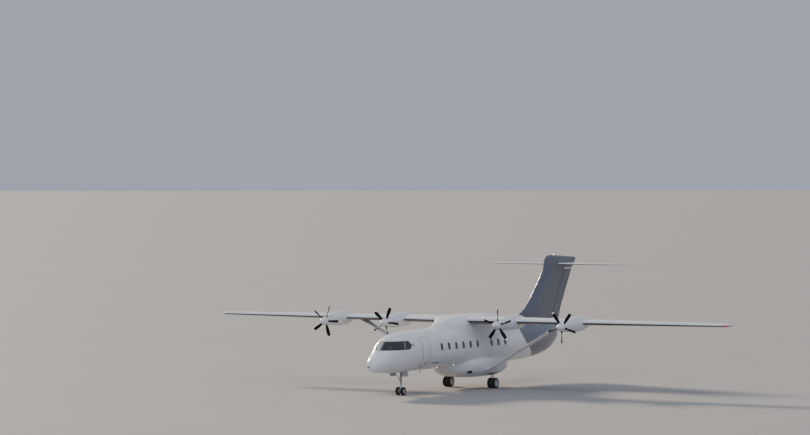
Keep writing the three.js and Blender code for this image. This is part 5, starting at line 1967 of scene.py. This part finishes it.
class AirlinerColours(bpy.types.PropertyGroup):
    """Colours of the aircraft's finishes."""

    white: colour_setting("White paint", "Main paint of fuselage and wings", (0.8, 0.81, 0.84, 1))
    slate: colour_setting("Slate paint", "Paint of the tail", (0.105, 0.118, 0.16, 1))
    glass: colour_setting("Glass", "Cockpit side panes and cabin windows", (0.018, 0.017, 0.024, 1))
    # A pale glass colour, painted as a bright sky's reflection in the windscreen.
    sky_reflection_glass: colour_setting("Pale glass", "Windscreen's centre pane", (0.5, 0.48, 0.44, 1))
    blade: colour_setting("Blades", "Propeller blades", (0.012, 0.012, 0.014, 1))
    tip: colour_setting("Blade tips", "Ends of the blades, and aerials", (0.82, 0.82, 0.82, 1))
    tyre: colour_setting("Tyres", "Rubber of the tyres", (0.02, 0.02, 0.021, 1))
    wheel: colour_setting("Wheels", "Rims", (0.62, 0.63, 0.65, 1))
    gear: colour_setting("Gear", "Legs and braces", (0.5, 0.51, 0.53, 1))
    floor: colour_setting("Floor", "The stage's floor", (0.33, 0.315, 0.31, 1))


class AirlinerSizes(bpy.types.PropertyGroup):
    """Sizes of the details that the CAD frame leaves open."""

    window_width: length_setting("Window width", "Width of a cabin window's pane", 0.25, 0.15, 0.4)
    window_height: length_setting("Window height", "Height of a cabin window's pane", 0.38, 0.2, 0.5)
    window_pitch: length_setting("Window pitch", "Distance between cabin windows", 0.76, 0.6, 0.9)
    fairing_blend: length_setting("Fairing blend", "Softness of the wing fairing's join", 0.18, 0.02, 0.3)
    blade_tip: length_setting("Blade tip", "Length of a blade's pale end", 0.085, 0.02, 0.2)
    tread_depth: length_setting("Tread depth", "Depth of the grooves in the main tyres", 0.006, 0.001, 0.012)
    floor_radius: length_setting("Floor radius", "Radius of the stage's floor", 6000, 100, 9000)


def step(name, label, text, build):
    """An operator that builds one piece or a group of like pieces."""

    def execute(self, context):
        build()
        return {"FINISHED"}

    body = {"bl_idname": f"airliner.{name}", "bl_label": label, "__doc__": text, "execute": execute}
    return type(f"AIRLINER_OT_{name}", (bpy.types.Operator,), body)


STEPS = (
    step("stage", "Stage", "Floor, light and camera", build_stage),
    step("nose", "Nose", "Nose skin with the gear bay", build_nose),
    step("cabin", "Cabin", "Cabin skin with the wing fairing", build_cabin),
    step("tail_cone", "Tail cone", "Tail skin", build_tail),
    step("belly", "Belly fairing", "Belly fairing with its openings and seams", build_belly),
    step("glazing", "Cockpit glazing", "Cockpit panes, rims and wipers", build_glazing),
    step("windows", "Cabin windows", "Rows of cabin windows", build_windows),
    step("doors", "Doors", "Passenger and service doors", build_doors),
    step("wings", "Wings", "Wings, flaps and ailerons", build_wings),
    step("wing_fittings", "Wing fittings", "Tip lights, wicks and jack pads", build_wing_fittings),
    step("struts", "Struts", "Braces under the wings", build_struts),
    step("nacelles", "Nacelles", "Nacelle skins and cowling seams", build_nacelles),
    step("propellers", "Propellers", "Spinners and blades", build_propellers),
    step("fin", "Fin and rudder", "Fin and rudder skins", build_fin),
    step("tailplane", "Tailplane", "Tailplane and elevator skins", build_tailplane),
    step("tyres", "Tyres", "Tyres with tread grooves", build_tyres),
    step("wheels", "Wheels", "Rims and axles", build_wheels),
    step("main_legs", "Main legs", "Main legs with links and hoses", build_main_legs),
    step("nose_leg", "Nose leg", "Nose leg, fork and lamp", build_nose_leg),
    step("fittings", "Small fittings", "Aerials, probes, vents and lamps", build_fittings),
)


class AIRLINER_PT_build(bpy.types.Panel):
    """The airliner's build steps and settings."""

    bl_idname = "AIRLINER_PT_build"
    bl_label = "Airliner"
    bl_space_type = "VIEW_3D"
    bl_region_type = "UI"
    bl_category = "Airliner"

    def draw(self, context):
        for operator in STEPS:
            self.layout.operator(operator.bl_idname)
        for group in (context.scene.airliner_colours, context.scene.airliner_sizes):
            for name in group.__annotations__:
                self.layout.prop(group, name)


CLASSES = (AirlinerColours, AirlinerSizes, *STEPS, AIRLINER_PT_build)


def register():
    for item in CLASSES:
        bpy.utils.register_class(item)
    bpy.types.Scene.airliner_colours = bpy.props.PointerProperty(type=AirlinerColours)
    bpy.types.Scene.airliner_sizes = bpy.props.PointerProperty(type=AirlinerSizes)


def unregister():
    del bpy.types.Scene.airliner_sizes
    del bpy.types.Scene.airliner_colours
    for item in reversed(CLASSES):
        bpy.utils.unregister_class(item)


def main():
    register()
    for operator in STEPS:
        group, name = operator.bl_idname.split(".")
        getattr(getattr(bpy.ops, group), name)()


if __name__ == "__main__":
    main()
